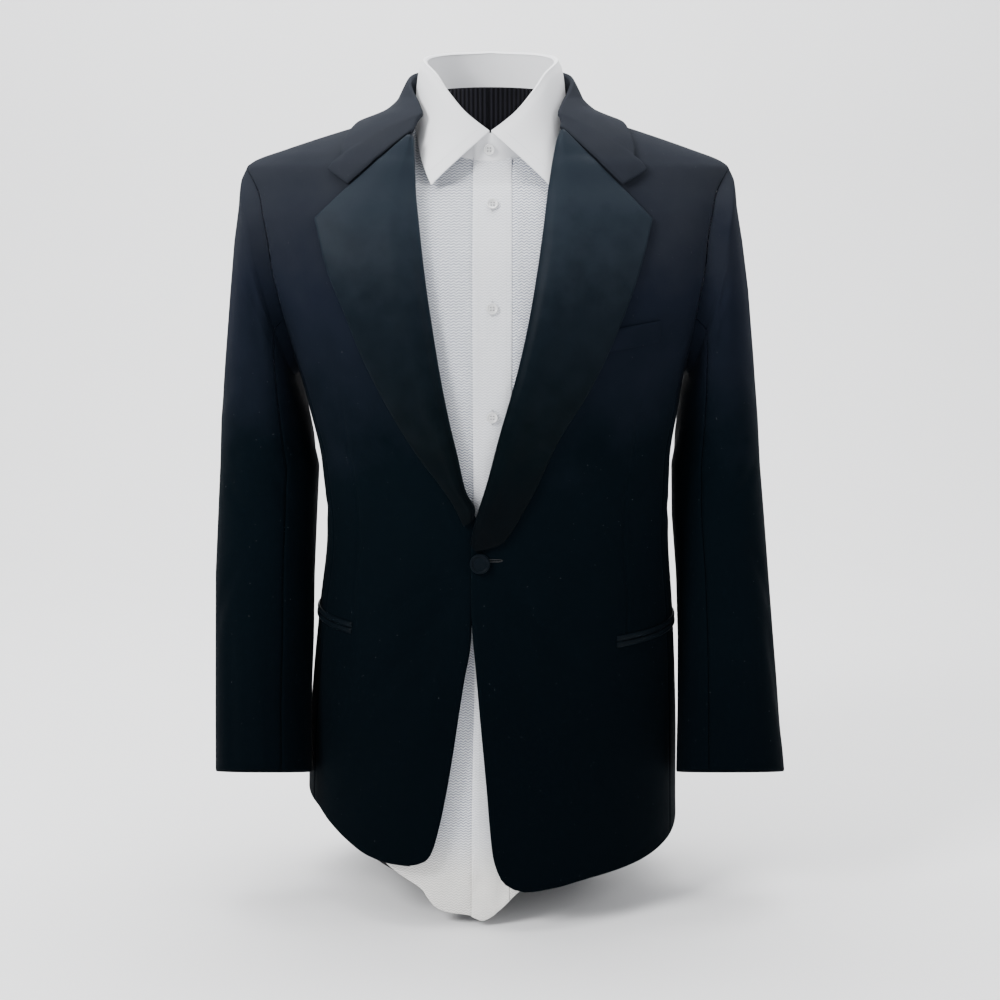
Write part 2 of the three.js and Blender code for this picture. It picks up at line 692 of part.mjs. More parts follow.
function breastWelt() {
  const shares = spread(0, 1, 6);
  const face = (out) => [0, 0.5, 1].map((up) => shares.map((share) => {
    const z = mix(WELT.z0, WELT.z1, share) - WELT.height * (1 - up);
    const x = mix(WELT.x0, WELT.x1, share);
    return jacketPoint(angleAtX(x, z), z, out);
  }));
  return wall(face(TRIM_CLEAR + WELT.thick), face(TRIM_CLEAR));
}

// A hip pocket's edge, by angle in degrees because it turns round the side
function besom(side, from, to, bottom) {
  const shares = spread(0, 1, 8);
  const face = (out) => [0, 1].map((up) => shares.map((share) => {
    const z = bottom + BESOM.rise * share + BESOM.height * up;
    return jacketPoint(side * mix(from, to, share) * DEGREE, z, out);
  }));
  return wall(face(TRIM_CLEAR + BESOM.thick), face(TRIM_CLEAR));
}

add('breast_welt', 'satin', breastWelt());
for (const [name, side, from, to, z] of [['left', 1, 38, 92, 290], ['right', -1, 49, 100, 300]]) {
  add(`pocket_besom_upper_${name}`, 'satin', besom(side, from, to, z));
  add(`pocket_besom_lower_${name}`, 'satin', besom(side, from, to, z - BESOM.pitch));
}

// A round button with a raised rim, turned about the surface's normal
function button(centre, normal, radius, thick, rim) {
  const profile = [
    [0, 0], [radius * 0.8, 0], [radius, thick * 0.35], [radius, thick * 0.75],
    [radius - rim, thick], [radius - rim * 1.8, thick * 0.72], [0, thick * 0.72],
  ].map(([r, h]) => new THREE.Vector2(r, h));
  const lathe = new THREE.LatheGeometry(profile, radius > 8 ? 18 : 10);
  const turn = new THREE.Quaternion().setFromUnitVectors(new THREE.Vector3(0, 1, 0), normal);
  lathe.applyQuaternion(turn);
  lathe.translate(centre.x, centre.y, centre.z);
  return lathe;
}

function normalAt(surface, angle, level) {
  return surface(angle, level, 10).sub(surface(angle, level, 0)).normalize();
}

const buttonAngle = angleAtX(JACKET_BUTTON.x, JACKET_BUTTON.z);
add('front_button', 'satin', button(
  jacketPoint(buttonAngle, JACKET_BUTTON.z, lap(JACKET_BUTTON.x, JACKET_BUTTON.z) + TRIM_CLEAR),
  normalAt(jacketPoint, buttonAngle, JACKET_BUTTON.z),
  JACKET_BUTTON.radius,
  JACKET_BUTTON.thick,
  JACKET_BUTTON.rim,
));

// Shirt

const SHIRT_HEIGHTS = [290, 350, 410, 470, 520];
const SHIRT_LEVELS = [0, 0.08, 0.25, 0.5, 1];
const SHIRT_STRAIGHT = 230;
const YOKE_LEVEL = 722;
const shirtTop = ARMHOLE.top - SHIRT_ARMHOLE_INSET;
const shirtBottom = ARMHOLE.bottom + SHIRT_ARMHOLE_INSET;
const SHIRT_ARM_LEVELS = [0, 24, 48, 72, 96, 120, 144, 162, 180].map((turn) => (
  mix(shirtBottom, shirtTop, (1 - Math.cos(turn * DEGREE)) / 2)
));

function shirtOuterAngle(level, isFront) {
  const gap = isFront ? 0.0016 : -0.0016;
  if (level <= shirtBottom || level >= shirtTop) return Math.PI / 2 - gap;
  return angleAtY(armholeY(level, isFront, SHIRT_ARMHOLE_INSET), Math.min(level, CHEST_TOP), 1) - gap;
}

function shirtHeights(last) {
  const upper = [...SHIRT_ARM_LEVELS, 766, 784, 796, LEVEL_TOP - 0.6].filter((level) => level <= last);
  return [...SHIRT_HEIGHTS, ...upper];
}

function shirtPanel(innerAngle, outer, shares, heights, stand) {
  const lines = [
    ...(heights[0] === SHIRT_HEIGHTS[0] ? SHIRT_LEVELS : []),
    ...heights,
  ];
  const face = (out) => lines.map((height) => shares.map((share) => {
    const level = height <= 1 ? SHIRT_STRAIGHT : height;
    const angle = mix(innerAngle(level), outer(level), share);
    const bottom = shirtHemAt(halfTurn(angle / DEGREE));
    const z = height <= 1 ? mix(bottom, SHIRT_STRAIGHT, height) : height;
    return shirtPoint(angle, z, out + stand(angle, z));
  }));
  return wall(face(0), face(-SHIRTING));
}

// The angle at which the shirt's front passes a given x, found by halving
function shirtAngle(x) {
  return (level) => {
    if (level <= CHEST_TOP) return angleAtX(x, level);
    let [low, high] = [-1, 1];
    for (let i = 0; i < 24; i += 1) {
      const middle = (low + high) / 2;
      if (underBody(middle, level).x < x) low = middle;
      else high = middle;
    }
    return low;
  };
}

const PLACKET_STAND = SHIRTING + 1.5;
const placketStand = (level) => PLACKET_STAND - 0.8 * smooth(CHEST_TOP - 5, CHEST_TOP + 10, level);
const plain = () => 0;
const frontShares = [0, 0.12, 0.26, 0.42, 0.6, 0.8, 1];

add('shirt_front_left', 'shirting', shirtPanel(
  shirtAngle(PLACKET.right + 0.8),
  (level) => shirtOuterAngle(level, true),
  frontShares,
  shirtHeights(LEVEL_TOP),
  (angle, level) => placketStand(level) * (1 - smooth(0.12, 0.5, angle)),
));
add('shirt_front_right', 'shirting', shirtPanel(
  shirtAngle(PLACKET.right - 6),
  (level) => -shirtOuterAngle(level, true),
  frontShares,
  shirtHeights(LEVEL_TOP),
  plain,
));
add('shirt_placket', 'shirting', shirtPanel(
  shirtAngle(PLACKET.left),
  shirtAngle(PLACKET.right),
  [0, 0.25, 0.5, 0.75, 1],
  shirtHeights(LEVEL_TOP),
  (angle, level) => placketStand(level),
));

// The back and the yoke above it go right round from one side to the other
function shirtBackPart(heights) {
  const shares = spread(0, 1, 10);
  return shirtPanel(
    (level) => shirtOuterAngle(level, false),
    (level) => 2 * Math.PI - shirtOuterAngle(level, false),
    shares,
    heights,
    plain,
  );
}

add('shirt_back', 'shirting', shirtBackPart([...shirtHeights(YOKE_LEVEL - 1), YOKE_LEVEL]));
add('shirt_yoke', 'shirting', shirtBackPart(
  [YOKE_LEVEL + 0.5, ...shirtHeights(LEVEL_TOP).filter((level) => level > YOKE_LEVEL + 5)],
));

// The neck wall at an angle and a height above the sloping seam
function neckPoint(degrees, z, out) {
  const angle = degrees * DEGREE;
  return new THREE.Vector3(
    (NECK.half + out) * Math.sin(angle),
    -((Math.cos(angle) > 0 ? NECK.front : NECK.back) + out) * Math.cos(angle),
    z,
  );
}

const shirtCollarCurve = Object.fromEntries(
  ['foldZ', 'edgeX', 'edgeY', 'edgeZ'].map((name) => [name, through(SHIRT_COLLAR, 'angle', name)]),
);
const NECK_ANGLES = [0, 8, 20, 34, 48, 64, 82, 102, 122, 142, 161, 180];
const STAND_OUT = 0.2;
const STAND_LAP = 2.0;
const COLLAR_BUTTON_Z = 774;

function shirtStandZ(degrees, share) {
  const folded = Math.abs(degrees > 180 ? 360 - degrees : degrees);
  const seam = neckSeam(degrees * DEGREE).z + 0.6;
  return mix(seam, shirtCollarCurve.foldZ(folded) - 1.2, share);
}

// The stand starts under the button at the front and ends just short of itself
function shirtStand() {
  const angles = [-14, -7, ...NECK_ANGLES, ...NECK_ANGLES.slice(1, -1).reverse().map((a) => 360 - a)];
  const ordered = [...angles, 360, 366];
  const lapped = (degrees) => STAND_LAP * (1 - smooth(2, 24, degrees));
  const face = (out) => ordered.map((degrees) => [0, 0.5, 1].map((share) => (
    neckPoint(degrees, shirtStandZ(degrees, share), STAND_OUT + lapped(degrees) + out)
  )));
  return wall(face(SHIRTING), face(0));
}

function shirtCollar() {
  const shares = [0, 0.08, 0.3, 0.55, 0.8, 1];
  const right = NECK_ANGLES.map((degrees) => Math.max(degrees, 0.8));
  const edge = (degrees) => new THREE.Vector3(
    shirtCollarCurve.edgeX(degrees),
    shirtCollarCurve.edgeY(degrees),
    shirtCollarCurve.edgeZ(degrees),
  );
  const column = (degrees, side, out) => shares.map((share) => {
    const fold = neckPoint(degrees, shirtCollarCurve.foldZ(degrees), STAND_OUT + 3.2);
    const point = fold.lerp(edge(degrees), share);
    const away = new THREE.Vector3(point.x, point.y, 0).normalize();
    point.addScaledVector(away, 2.5 * Math.sin(Math.PI * share) + out);
    point.x *= side;
    return point;
  });
  const face = (out) => [
    ...right.map((degrees) => column(degrees, 1, out)),
    ...right.slice(0, -1).reverse().map((degrees) => column(degrees, -1, out)),
  ];
  return wall(face(SHIRTING), face(0));
}

add('shirt_collar_stand', 'shirting', shirtStand());
add('shirt_collar_leaf', 'shirting', shirtCollar());

// Buttons down the placket, and one on the stand
const buttonLine = (PLACKET.left + PLACKET.right) / 2;
const TOP_BUTTON = { z: 724, lower: 4, lean: 4 };
const BUTTON_CLEAR = 0.6;
const SHIRT_BUTTON_RIM = 1.2;
for (let i = 0; i < 6; i += 1) {
  const z = TOP_BUTTON.z - SHIRT_BUTTON_PITCH * i + (i === 0 ? 0 : TOP_BUTTON.lower);
  const angle = angleAtX(buttonLine - (i > 2 ? TOP_BUTTON.lean : 0), z);
  add(`shirt_button_${i + 2}`, 'pearl', button(
    shirtPoint(angle, z, PLACKET_STAND + BUTTON_CLEAR),
    normalAt(shirtPoint, angle, z),
    SHIRT_BUTTON.radius,
    SHIRT_BUTTON.thick,
    SHIRT_BUTTON_RIM,
  ));
}
add('shirt_button_1', 'pearl', button(
  neckPoint(-1, COLLAR_BUTTON_Z, STAND_OUT + SHIRTING + STAND_LAP + 0.5),
  new THREE.Vector3(0, -1, 0),
  SHIRT_BUTTON.radius,
  SHIRT_BUTTON.thick,
  SHIRT_BUTTON_RIM,
));

// Shirt sleeves and cuffs, inside the jacket's sleeves
function shirtSleevePart(table, side, positions, shrink, fromArmhole) {
  const turns = spread(0, 360, 14).slice(0, -1).map((turn) => turn * DEGREE);
  const face = (more) => [
    ...(fromArmhole ? [shirtArmRing(side, turns, more)] : []),
    ...positions.map((position) => sleeveRing(between(table, position), turns, shrink + more)),
  ];
  return wall(face(0), face(SHIRTING), true);
}

function shirtArmRing(side, turns, more) {
  const inset = SHIRT_ARMHOLE_INSET + more - SHIRTING - 0.4;
  const middle = (ARMHOLE.top + ARMHOLE.bottom) / 2;
  const half = (ARMHOLE.top - ARMHOLE.bottom) / 2 - inset;
  return turns.map((turn) => {
    const z = middle + half * Math.cos(turn);
    const y = -(Math.sin(turn) > 0 ? ARMHOLE.front - inset : ARMHOLE.back - inset) * Math.sin(turn);
    return shirtPoint(angleAtY(y, Math.min(z, CHEST_TOP), side), z, 1.2);
  });
}

for (const [name, side, table] of [['left', 1, LEFT_SLEEVE], ['right', -1, RIGHT_SLEEVE]]) {
  const along = [0.3, 1.5, 3, 4.5, 6, 7.5, SHIRT_CUFF.top];
  add(`shirt_sleeve_${name}`, 'shirting', shirtSleevePart(table, side, along, 10, true));
  const cuff = [SHIRT_CUFF.top - 0.1, SHIRT_CUFF.end];
  add(`shirt_cuff_${name}`, 'shirting', shirtSleevePart(table, side, cuff, 8.4, false));
}

// Torso form

const BASE_TOP = 100;
const BASE_SQUARE = 2.3;
function formPoint(angle, level) {
  if (level < BASE_TOP) {
    const body = raised(skin, angle, BASE_TOP, formInset(BASE_TOP));
    const t = smooth(0, BASE_TOP, level);
    const depth = Math.cos(angle) > 0 ? formBase.front(level) : formBase.back(level);
    const low = new THREE.Vector3(
      formBase.half(level) * power(Math.sin(angle), 2 / BASE_SQUARE),
      -depth * power(Math.cos(angle), 2 / BASE_SQUARE),
      level,
    );
    return low.lerp(new THREE.Vector3(body.x, body.y, level), t * t);
  }
  return raised(underBody, angle, level, formInset(level));
}

const formBase = Object.fromEntries(
  ['half', 'front', 'back'].map((name) => [name, through(BASE, 'z', name)]),
);
const NECK_TOP = 835;
const FORM_LEVELS = [
  0, 6, 24, 50, 76, BASE_TOP, 180, 280, 390, 470, 540, 600, 660, 710, 745, 765, 785, LEVEL_TOP,
];

function torsoForm() {
  const around = 26;
  const turns = spread(0, 360, around).slice(0, -1).map((turn) => turn * DEGREE);
  const rings = FORM_LEVELS.map((level) => turns.map((angle) => formPoint(angle, level)));
  const narrow = (z) => turns.map((angle) => neckPoint(angle / DEGREE, z, -1.4));
  rings.push(narrow(NECK_TOP - 1.5).map((point) => {
    point.z = Math.max(point.z, neckSeam(Math.atan2(point.x, -point.y)).z + 3);
    return point;
  }));
  return capped(rings);
}

// Stacked rings closed by a fan at the bottom and at the top
function capped(rings) {
  const positions = rings.flat().flatMap((point) => [point.x, point.y, point.z]);
  const count = rings[0].length;
  const index = [];
  for (let i = 0; i < rings.length - 1; i += 1) {
    for (let j = 0; j < count; j += 1) {
      const next = (j + 1) % count;
      const [a, b] = [i * count + j, i * count + next];
      index.push(a, b, b + count, a, b + count, a + count);
    }
  }
  for (const [ringIndex, turn] of [[0, -1], [rings.length - 1, 1]]) {
    const centre = positions.length / 3;
    const middle = new THREE.Vector3();
    rings[ringIndex].forEach((point) => middle.addScaledVector(point, 1 / count));
    positions.push(middle.x, middle.y, middle.z);
    for (let j = 0; j < count; j += 1) {
      const [a, b] = [ringIndex * count + j, ringIndex * count + ((j + 1) % count)];
      index.push(centre, turn > 0 ? a : b, turn > 0 ? b : a);
    }
  }
  return closed(positions, index);
}

add('torso_form', 'jersey', torsoForm());

export default tuxedo;
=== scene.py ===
"""A dinner jacket over a dress shirt on a limbless torso form.

Lengths are in millimetres until a mesh is made, in the part's own frame: +Z up, the front faces -Y,
and +X is the wearer's left. Angles round the body count from the front and grow to the wearer's left.
"""

import math

import bpy
import numpy as np
from mathutils import Matrix


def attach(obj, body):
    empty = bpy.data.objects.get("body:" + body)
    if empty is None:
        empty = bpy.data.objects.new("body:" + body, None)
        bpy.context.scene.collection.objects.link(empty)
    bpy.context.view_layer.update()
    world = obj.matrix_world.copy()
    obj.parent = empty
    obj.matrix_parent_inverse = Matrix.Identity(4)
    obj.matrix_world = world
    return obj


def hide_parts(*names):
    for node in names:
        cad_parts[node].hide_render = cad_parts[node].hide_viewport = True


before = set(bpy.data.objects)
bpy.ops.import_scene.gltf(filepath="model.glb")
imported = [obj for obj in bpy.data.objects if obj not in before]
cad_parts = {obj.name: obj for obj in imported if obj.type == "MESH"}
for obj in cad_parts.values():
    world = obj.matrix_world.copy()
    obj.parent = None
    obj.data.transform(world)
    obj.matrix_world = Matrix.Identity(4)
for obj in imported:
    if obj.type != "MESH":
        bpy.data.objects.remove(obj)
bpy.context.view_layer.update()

MILLIMETRE = 0.001
DEGREE = math.pi / 180
TURN = 2 * math.pi

# Driving dimensions
WOOL = 1.8
SATIN = 1.5
SHIRTING = 1.0
ARMHOLE = {"top": 762, "bottom": 555, "front": 72, "back": 80}
SHIRT_ARMHOLE_INSET = 9
SIDE_SEAMS = {"front": -50, "back": 70}
STRAIGHT_ABOVE_HEM = 300
JACKET_BUTTON = {"x": -10, "z": 374, "radius": 10, "thick": 4}
SHIRT_BUTTON = {"radius": 5.6, "thick": 2.2}
SHIRT_BUTTON_PITCH = 105
PLACKET = {"left": -17, "right": 21}


def rows(names, values):
    """A table with named columns, as one array for each column."""
    return dict(zip(names.split(), np.array(values, float).T))


# The outer face of the jacket's body: one rounded ring at each height
BODY = rows("z half front back square centre", [
    [0, 202, 150, 142, 2.2, 1],
    [90, 199, 148, 138, 2.2, 1],
    [180, 196, 142, 133, 2.2, 2],
    [300, 188, 131, 122, 2.2, 5],
    [390, 180, 124, 114, 2.2, 7],
    [460, 182, 129, 119, 2.25, 5],
    [514, 191, 135, 126, 2.3, 3],
    [553, 199, 138, 131, 2.35, 1],
    [590, 212, 137, 134, 2.4, 0],
    [626, 227, 132, 134, 2.5, -1],
    [667, 240, 123, 130, 2.6, -2],
    [708, 247, 108, 120, 2.6, -3],
    [740, 249, 93, 106, 2.4, -3],
    [758, 247, 86, 98, 2.25, -3],
    [766, 238, 82, 95, 2.15, -3],
    [778, 206, 78, 92, 2.05, -2],
    [790, 170, 73, 90, 2.0, -1],
    [800, 138, 69, 88, 1.95, 0],
    [812, 100, 66, 86, 2.0, 0],
    [825, 85, 63, 84, 2.0, 0],
    [845, 79, 61, 82, 2.0, 0],
])

# The jacket's hem: its height at each angle round the body, in degrees
HEM = rows("angle z", [
    [-180, 84], [-125, 98], [-90, 107], [-67, 103], [-57, 92], [-47, 80], [-37, 69], [-28, 65],
    [-1, 65], [1, 42], [9, 41.5], [16, 44], [26, 50], [50, 58], [66, 65], [90, 77], [125, 83],
    [180, 84],
])

# Front edge and roll line of each front, then its neckline
LEFT_EDGE = rows("z x", [
    [42, 34], [47, 18], [58, 9], [81, 2], [148, -4], [249, -13], [338, -19], [386, -19],
    [418, -13], [458, -1], [497, 9], [565, 28], [650, 45], [725, 56], [773, 64], [795, 70],
    [822, 80], [845, 82],
])
RIGHT_EDGE = rows("z x", [
    [66, -82], [69, -70], [76, -62], [91, -56], [150, -43], [257, -26], [290, -20], [335, -17],
    [355, -4], [374, 8], [395, 2], [416, -13], [446, -25], [517, -41], [603, -56], [678, -68],
    [744, -73], [790, -76], [822, -82], [845, -84],
])

# Each lapel: its roll line and its outer edge, from the button up to the gorge seam
LEFT_LAPEL = rows("rollX rollZ edgeX edgeZ", [
    [-19, 393, -14, 386],
    [-13, 418, 9, 393],
    [-1, 458, 38, 438],
    [9, 497, 66, 497],
    [28, 565, 95, 545],
    [38, 610, 124, 607],
    [45, 650, 143, 659],
    [51, 690, 156, 706],
    [57, 735, 127, 736],
    [61, 760, 104, 759],
    [65, 780, 84, 779],
    [69, 792, 72, 791],
])
RIGHT_LAPEL = rows("rollX rollZ edgeX edgeZ", [
    [-17, 417, -26, 411],
    [-16, 428, -35, 431],
    [-25, 446, -50, 454],
    [-33, 482, -71, 482],
    [-41, 517, -102, 535],
    [-50, 565, -124, 580],
    [-56, 603, -138, 615],
    [-62, 642, -156, 659],
    [-68, 690, -169, 707],
    [-73, 735, -137, 737],
    [-74, 756, -112, 759],
    [-75, 774, -92, 776.5],
    [-76, 786, -80, 786.5],
])

# The jacket's collar: where it folds, and the point above which its leaf ends
COLLAR = rows("angle foldZ foldOut edgeX edgeY edgeZ edgeOut", [
    [36, 806, 2.5, 143, -70, 765, 2.5],
    [48, 816, 2.5, 136, -55, 779, 2.5],
    [62, 827, 2.5, 127, -40, 790, 2.5],
    [76, 838, 3, 118, -20, 799, 3],
    [92, 846, 4, 112, 2, 805, 4],
    [115, 856, 4, 102, 40, 806, 4],
    [145, 863, 4, 62, 72, 810, 5],
    [180, 866, 4, 0, 84, 812, 5],
])
COLLAR_START = 36
LEFT_GORGE = {"inner": (70, 794), "notch": (127.5, 738), "tip": (152, 753)}
RIGHT_GORGE = {"inner": (-77, 791), "notch": (-137.5, 739), "tip": (-158, 754)}
RIGHT_COLLAR_REACH = 5

# Soft troughs that the fastened button pulls into the fronts
PULLS = [
    (-28, 352, -150, 195, 4.0, 11),
    (-34, 366, -140, 296, 2.6, 9),
    (6, 362, 105, 250, 2.6, 11),
    (30, 384, 120, 350, 1.4, 9),
    (-150, 470, -60, 420, 1.6, 12),
    (70, 430, 150, 470, 1.4, 12),
]

# Each sleeve, as rings from the shoulder down
SLEEVE_COLUMNS = "outX outZ inX inZ y half tilt square"
RIGHT_SLEEVE = rows(SLEEVE_COLUMNS, [
    [-252, 749, -202.5, 549, 3, 79, 0, 2.2],
    [-255, 727, -202, 545, 4, 83, 0, 2.2],
    [-261, 690, -201, 540, 5, 85, 0, 2.2],
    [-267, 640, -198.5, 531, 7, 84, 0, 2.2],
    [-275, 570, -194, 515, 9, 80, 0, 2.2],
    [-282, 505, -188, 486, 10, 74, 0, 2.2],
    [-285, 455, -182.5, 452, 9, 67, 3, 2.2],
    [-288, 400, -185, 400, 2, 61, 7, 2.2],
    [-290, 340, -187, 340, -12, 57, 11, 2.2],
    [-289, 275, -187, 275, -30, 54, 15, 2.2],
    [-288, 205, -189, 205, -48, 52, 19, 2.2],
    [-287, 139, -188, 139, -64, 50, 21, 2.2],
])
LEFT_SLEEVE = rows(SLEEVE_COLUMNS, [
    [246, 749, 204.5, 549, 3, 79, 0, 2.2],
    [249, 727, 204, 545, 4, 83, 0, 2.2],
    [256, 690, 203, 540, 5, 85, 0, 2.2],
    [264, 640, 200.5, 531, 7, 84, 0, 2.2],
    [272, 570, 198.5, 515, 9, 80, 0, 2.2],
    [279, 505, 195, 486, 10, 74, 0, 2.2],
    [283, 455, 191.5, 452, 9, 67, 3, 2.2],
    [288, 400, 192, 400, 2, 61, 7, 2.2],
    [292, 340, 196, 340, -12, 57, 11, 2.2],
    [296, 275, 197, 275, -30, 54, 15, 2.2],
    [301, 205, 196, 205, -48, 52, 19, 2.2],
    [306, 139, 194, 139, -64, 49, 21, 2.2],
])
SLEEVE_SEAMS = {"front": 118, "back": 248}
SLEEVE_GAP = 0.18
SHIRT_CUFF = {"top": 9.5, "end": 10.6}

# The neck: a ring that slopes up to the back, on which the shirt's collar stands
NECK = {"half": 64, "front": 66, "back": 66, "middle": 803, "slope": 39}
CHEST_TOP = 745
BEND_START = 712
LEVEL_TOP = 805
SHOULDER_RISE = 10
NECK_HOLLOW = 7

# The shirt's collar round the neck: the fold's height, and where the leaf ends
SHIRT_COLLAR = rows("angle foldZ edgeX edgeY edgeZ", [
    [0.8, 791, 57, -88.8, 739.5],
    [8, 797, 62, -80, 751],
    [20, 808, 67, -66, 764],
    [38, 829, 72, -42, 784],
    [56, 850, 75, -16, 801],
    [80, 862, 76, 12, 818],
    [110, 872, 66, 40, 832],
    [145, 879, 41, 64, 843],
    [180, 882, 0, 76, 848],
])

# How far the shirt and the form lie inside the jacket's outer face
UNDER = rows("z shirt form", [
    [0, -15, -26], [180, -15, -25], [330, -13, -22], [460, -9, -17], [600, -8, -16],
    [700, -8, -16], [745, -7.5, -15], [805, 0, -4.5],
])
SHIRT_HEM = rows("angle z", [
    [-180, 60], [-150, 70], [-122, 104], [-90, 112], [-70, 100], [-40, 74], [-32, 57], [-26, 47], [-20, 37],
    [-16, 20], [-12, 14], [-5, 11], [-2, 7], [2, 19], [6, 35], [12, 50], [20, 60], [60, 78],
    [85, 98], [122, 104], [150, 70], [180, 60],
])
BASE = rows("z half front back", [
    [0, 96, 44, 104], [6, 104, 50, 110], [30, 132, 76, 118], [66, 160, 106, 118],
])


def through(table, key, name):
    """A smooth curve through a table's rows, with no overshoot between them."""
    xs = table[key]
    ys = table[name]
    width = np.diff(xs)
    slope = np.diff(ys) / width
    product = slope[:-1] * slope[1:]
    total = slope[:-1] + slope[1:]
    safe = np.where(product > 0, total, 1.0)
    inside = np.where(product > 0, 2 * product / safe, 0.0)
    tangent = np.concatenate([slope[:1], inside, slope[-1:]])

    def curve(value):
        x = np.clip(np.asarray(value, float), xs[0], xs[-1])
        i = np.clip(np.searchsorted(xs, x, side="left") - 1, 0, len(xs) - 2)
        t = (x - xs[i]) / width[i]
        rise = ys[i + 1] - ys[i]
        start = tangent[i] * width[i]
        bend = (tangent[i] + tangent[i + 1]) * width[i] - 2 * rise
        return ys[i] + t * (start + t * ((rise - start) - bend * (1 - t)))

    return curve


ring = {name: through(BODY, "z", name) for name in ("half", "front", "back", "square", "centre")}
hem_at = through(HEM, "angle", "z")
shirt_hem_at = through(SHIRT_HEM, "angle", "z")
shirt_inset = through(UNDER, "z", "shirt")
form_inset = through(UNDER, "z", "form")
left_edge_at = through(LEFT_EDGE, "z", "x")
right_edge_at = through(RIGHT_EDGE, "z", "x")


def power(value, exponent):
    return np.sign(value) * np.abs(value) ** exponent


def smooth(start, end, value):
    t = np.clip((np.asarray(value, float) - start) / (end - start), 0, 1)
    return t * t * (3 - 2 * t)


def half_turn(degrees):
    """Brings angles in degrees to between -180 and 180."""
    return np.where(degrees > 180, degrees - 360, degrees)


def mix(a, b, t):
    return a + (b - a) * t


def point(x, y, z):
    return np.stack(np.broadcast_arrays(x, y, z), axis=-1).astype(float)


def unit(vectors):
    return vectors / np.linalg.norm(vectors, axis=-1, keepdims=True)


# The surfaces that the pieces lie on

def skin(angle, z):
    """A point of the jacket's outer face, by angle from the front and height."""
    bend = 2 / ring["square"](z)
    forward = np.cos(angle)
    depth = np.where(forward > 0, ring["front"](z), ring["back"](z))
    across = ring["centre"](z) + ring["half"](z) * power(np.sin(angle), bend)
    return point(across, -depth * power(forward, bend), z)


def neck_seam(angle):
    forward = np.cos(angle)
    depth = np.where(forward > 0, NECK["front"], NECK["back"])
    return point(NECK["half"] * np.sin(angle), -depth * forward, NECK["middle"] - NECK["slope"] * forward)


def under_body(angle, level):
    """What the shirt and the form follow: the jacket's rings, then a soft bend up to the neck."""
    angle, level = np.broadcast_arrays(np.asarray(angle, float), np.asarray(level, float))
    low = skin(angle, np.minimum(level, BEND_START))
    span = LEVEL_TOP - BEND_START
    t = np.clip((level - BEND_START) / span, 0, 1)[..., None]
    start = skin(angle, BEND_START) - skin(angle, BEND_START - 1.0)
    seam = neck_seam(angle)
    end = (seam - skin(angle, CHEST_TOP)) / (LEVEL_TOP - CHEST_TOP)
    places = (low * (1 + 2 * t) * (1 - t) ** 2 + start * span * t * (1 - t) ** 2
              + seam * t * t * (3 - 2 * t) - end * span * t * t * (1 - t))
    slope = np.clip((level - CHEST_TOP) / (LEVEL_TOP - CHEST_TOP), 0, 1)
    ridge = np.sin(angle) ** 8
    lift = np.sin(math.pi * slope) * smooth(0, 0.5, slope)
    places[..., 2] += lift * mix(-NECK_HOLLOW, SHOULDER_RISE, ridge)
    return places


def raised(surface, angle, level, out, step=0.012, rise=0.8):
    """Moves a point of a surface along its normal."""
    low = np.minimum(level, LEVEL_TOP + 40)
    highest = LEVEL_TOP if surface is under_body else 1000
    across = surface(angle + step, low) - surface(angle - step, low)
    up = surface(angle, np.minimum(low + rise, highest)) - surface(angle, low - rise)
    normal = unit(np.cross(across, up))
    return surface(angle, level) + normal * np.asarray(out)[..., None]


def angle_at_x(x, z):
    share = np.clip((x - ring["centre"](z)) / ring["half"](z), -0.9999, 0.9999)
    return np.arcsin(power(share, ring["square"](z) / 2))


def angle_at_y(y, z, side):
    depth = np.where(np.asarray(y) < 0, ring["front"](z), ring["back"](z))
    share = np.clip(-y / depth, -0.9999, 0.9999)
    return side * np.arccos(power(share, ring["square"](z) / 2))


def ring_angle(x, y, z):
    bend = ring["square"](z) / 2
    depth = np.where(np.asarray(y) < 0, ring["front"](z), ring["back"](z))
    return np.arctan2(power((x - ring["centre"](z)) / ring["half"](z), bend), power(-y / depth, bend))


def trough(x, z, line):
    """How deep one fold's line lies at each point: soft at both ends."""
    x0, z0, x1, z1, depth, width = line
    dx, dz = x1 - x0, z1 - z0
    length = math.hypot(dx, dz)
    along = ((x - x0) * dx + (z - z0) * dz) / length ** 2
    away = ((x - x0) * dz - (z - z0) * dx) / length
    ends = smooth(-0.05, 0.2, along) * (1 - smooth(0.6, 1.15, along))
    return -depth * ends * np.exp(-((away / width) ** 2))


def pulled(places):
    depth = sum(trough(places[..., 0], places[..., 2], line) for line in PULLS)
    return np.where(places[..., 1] > 0, 0, depth)


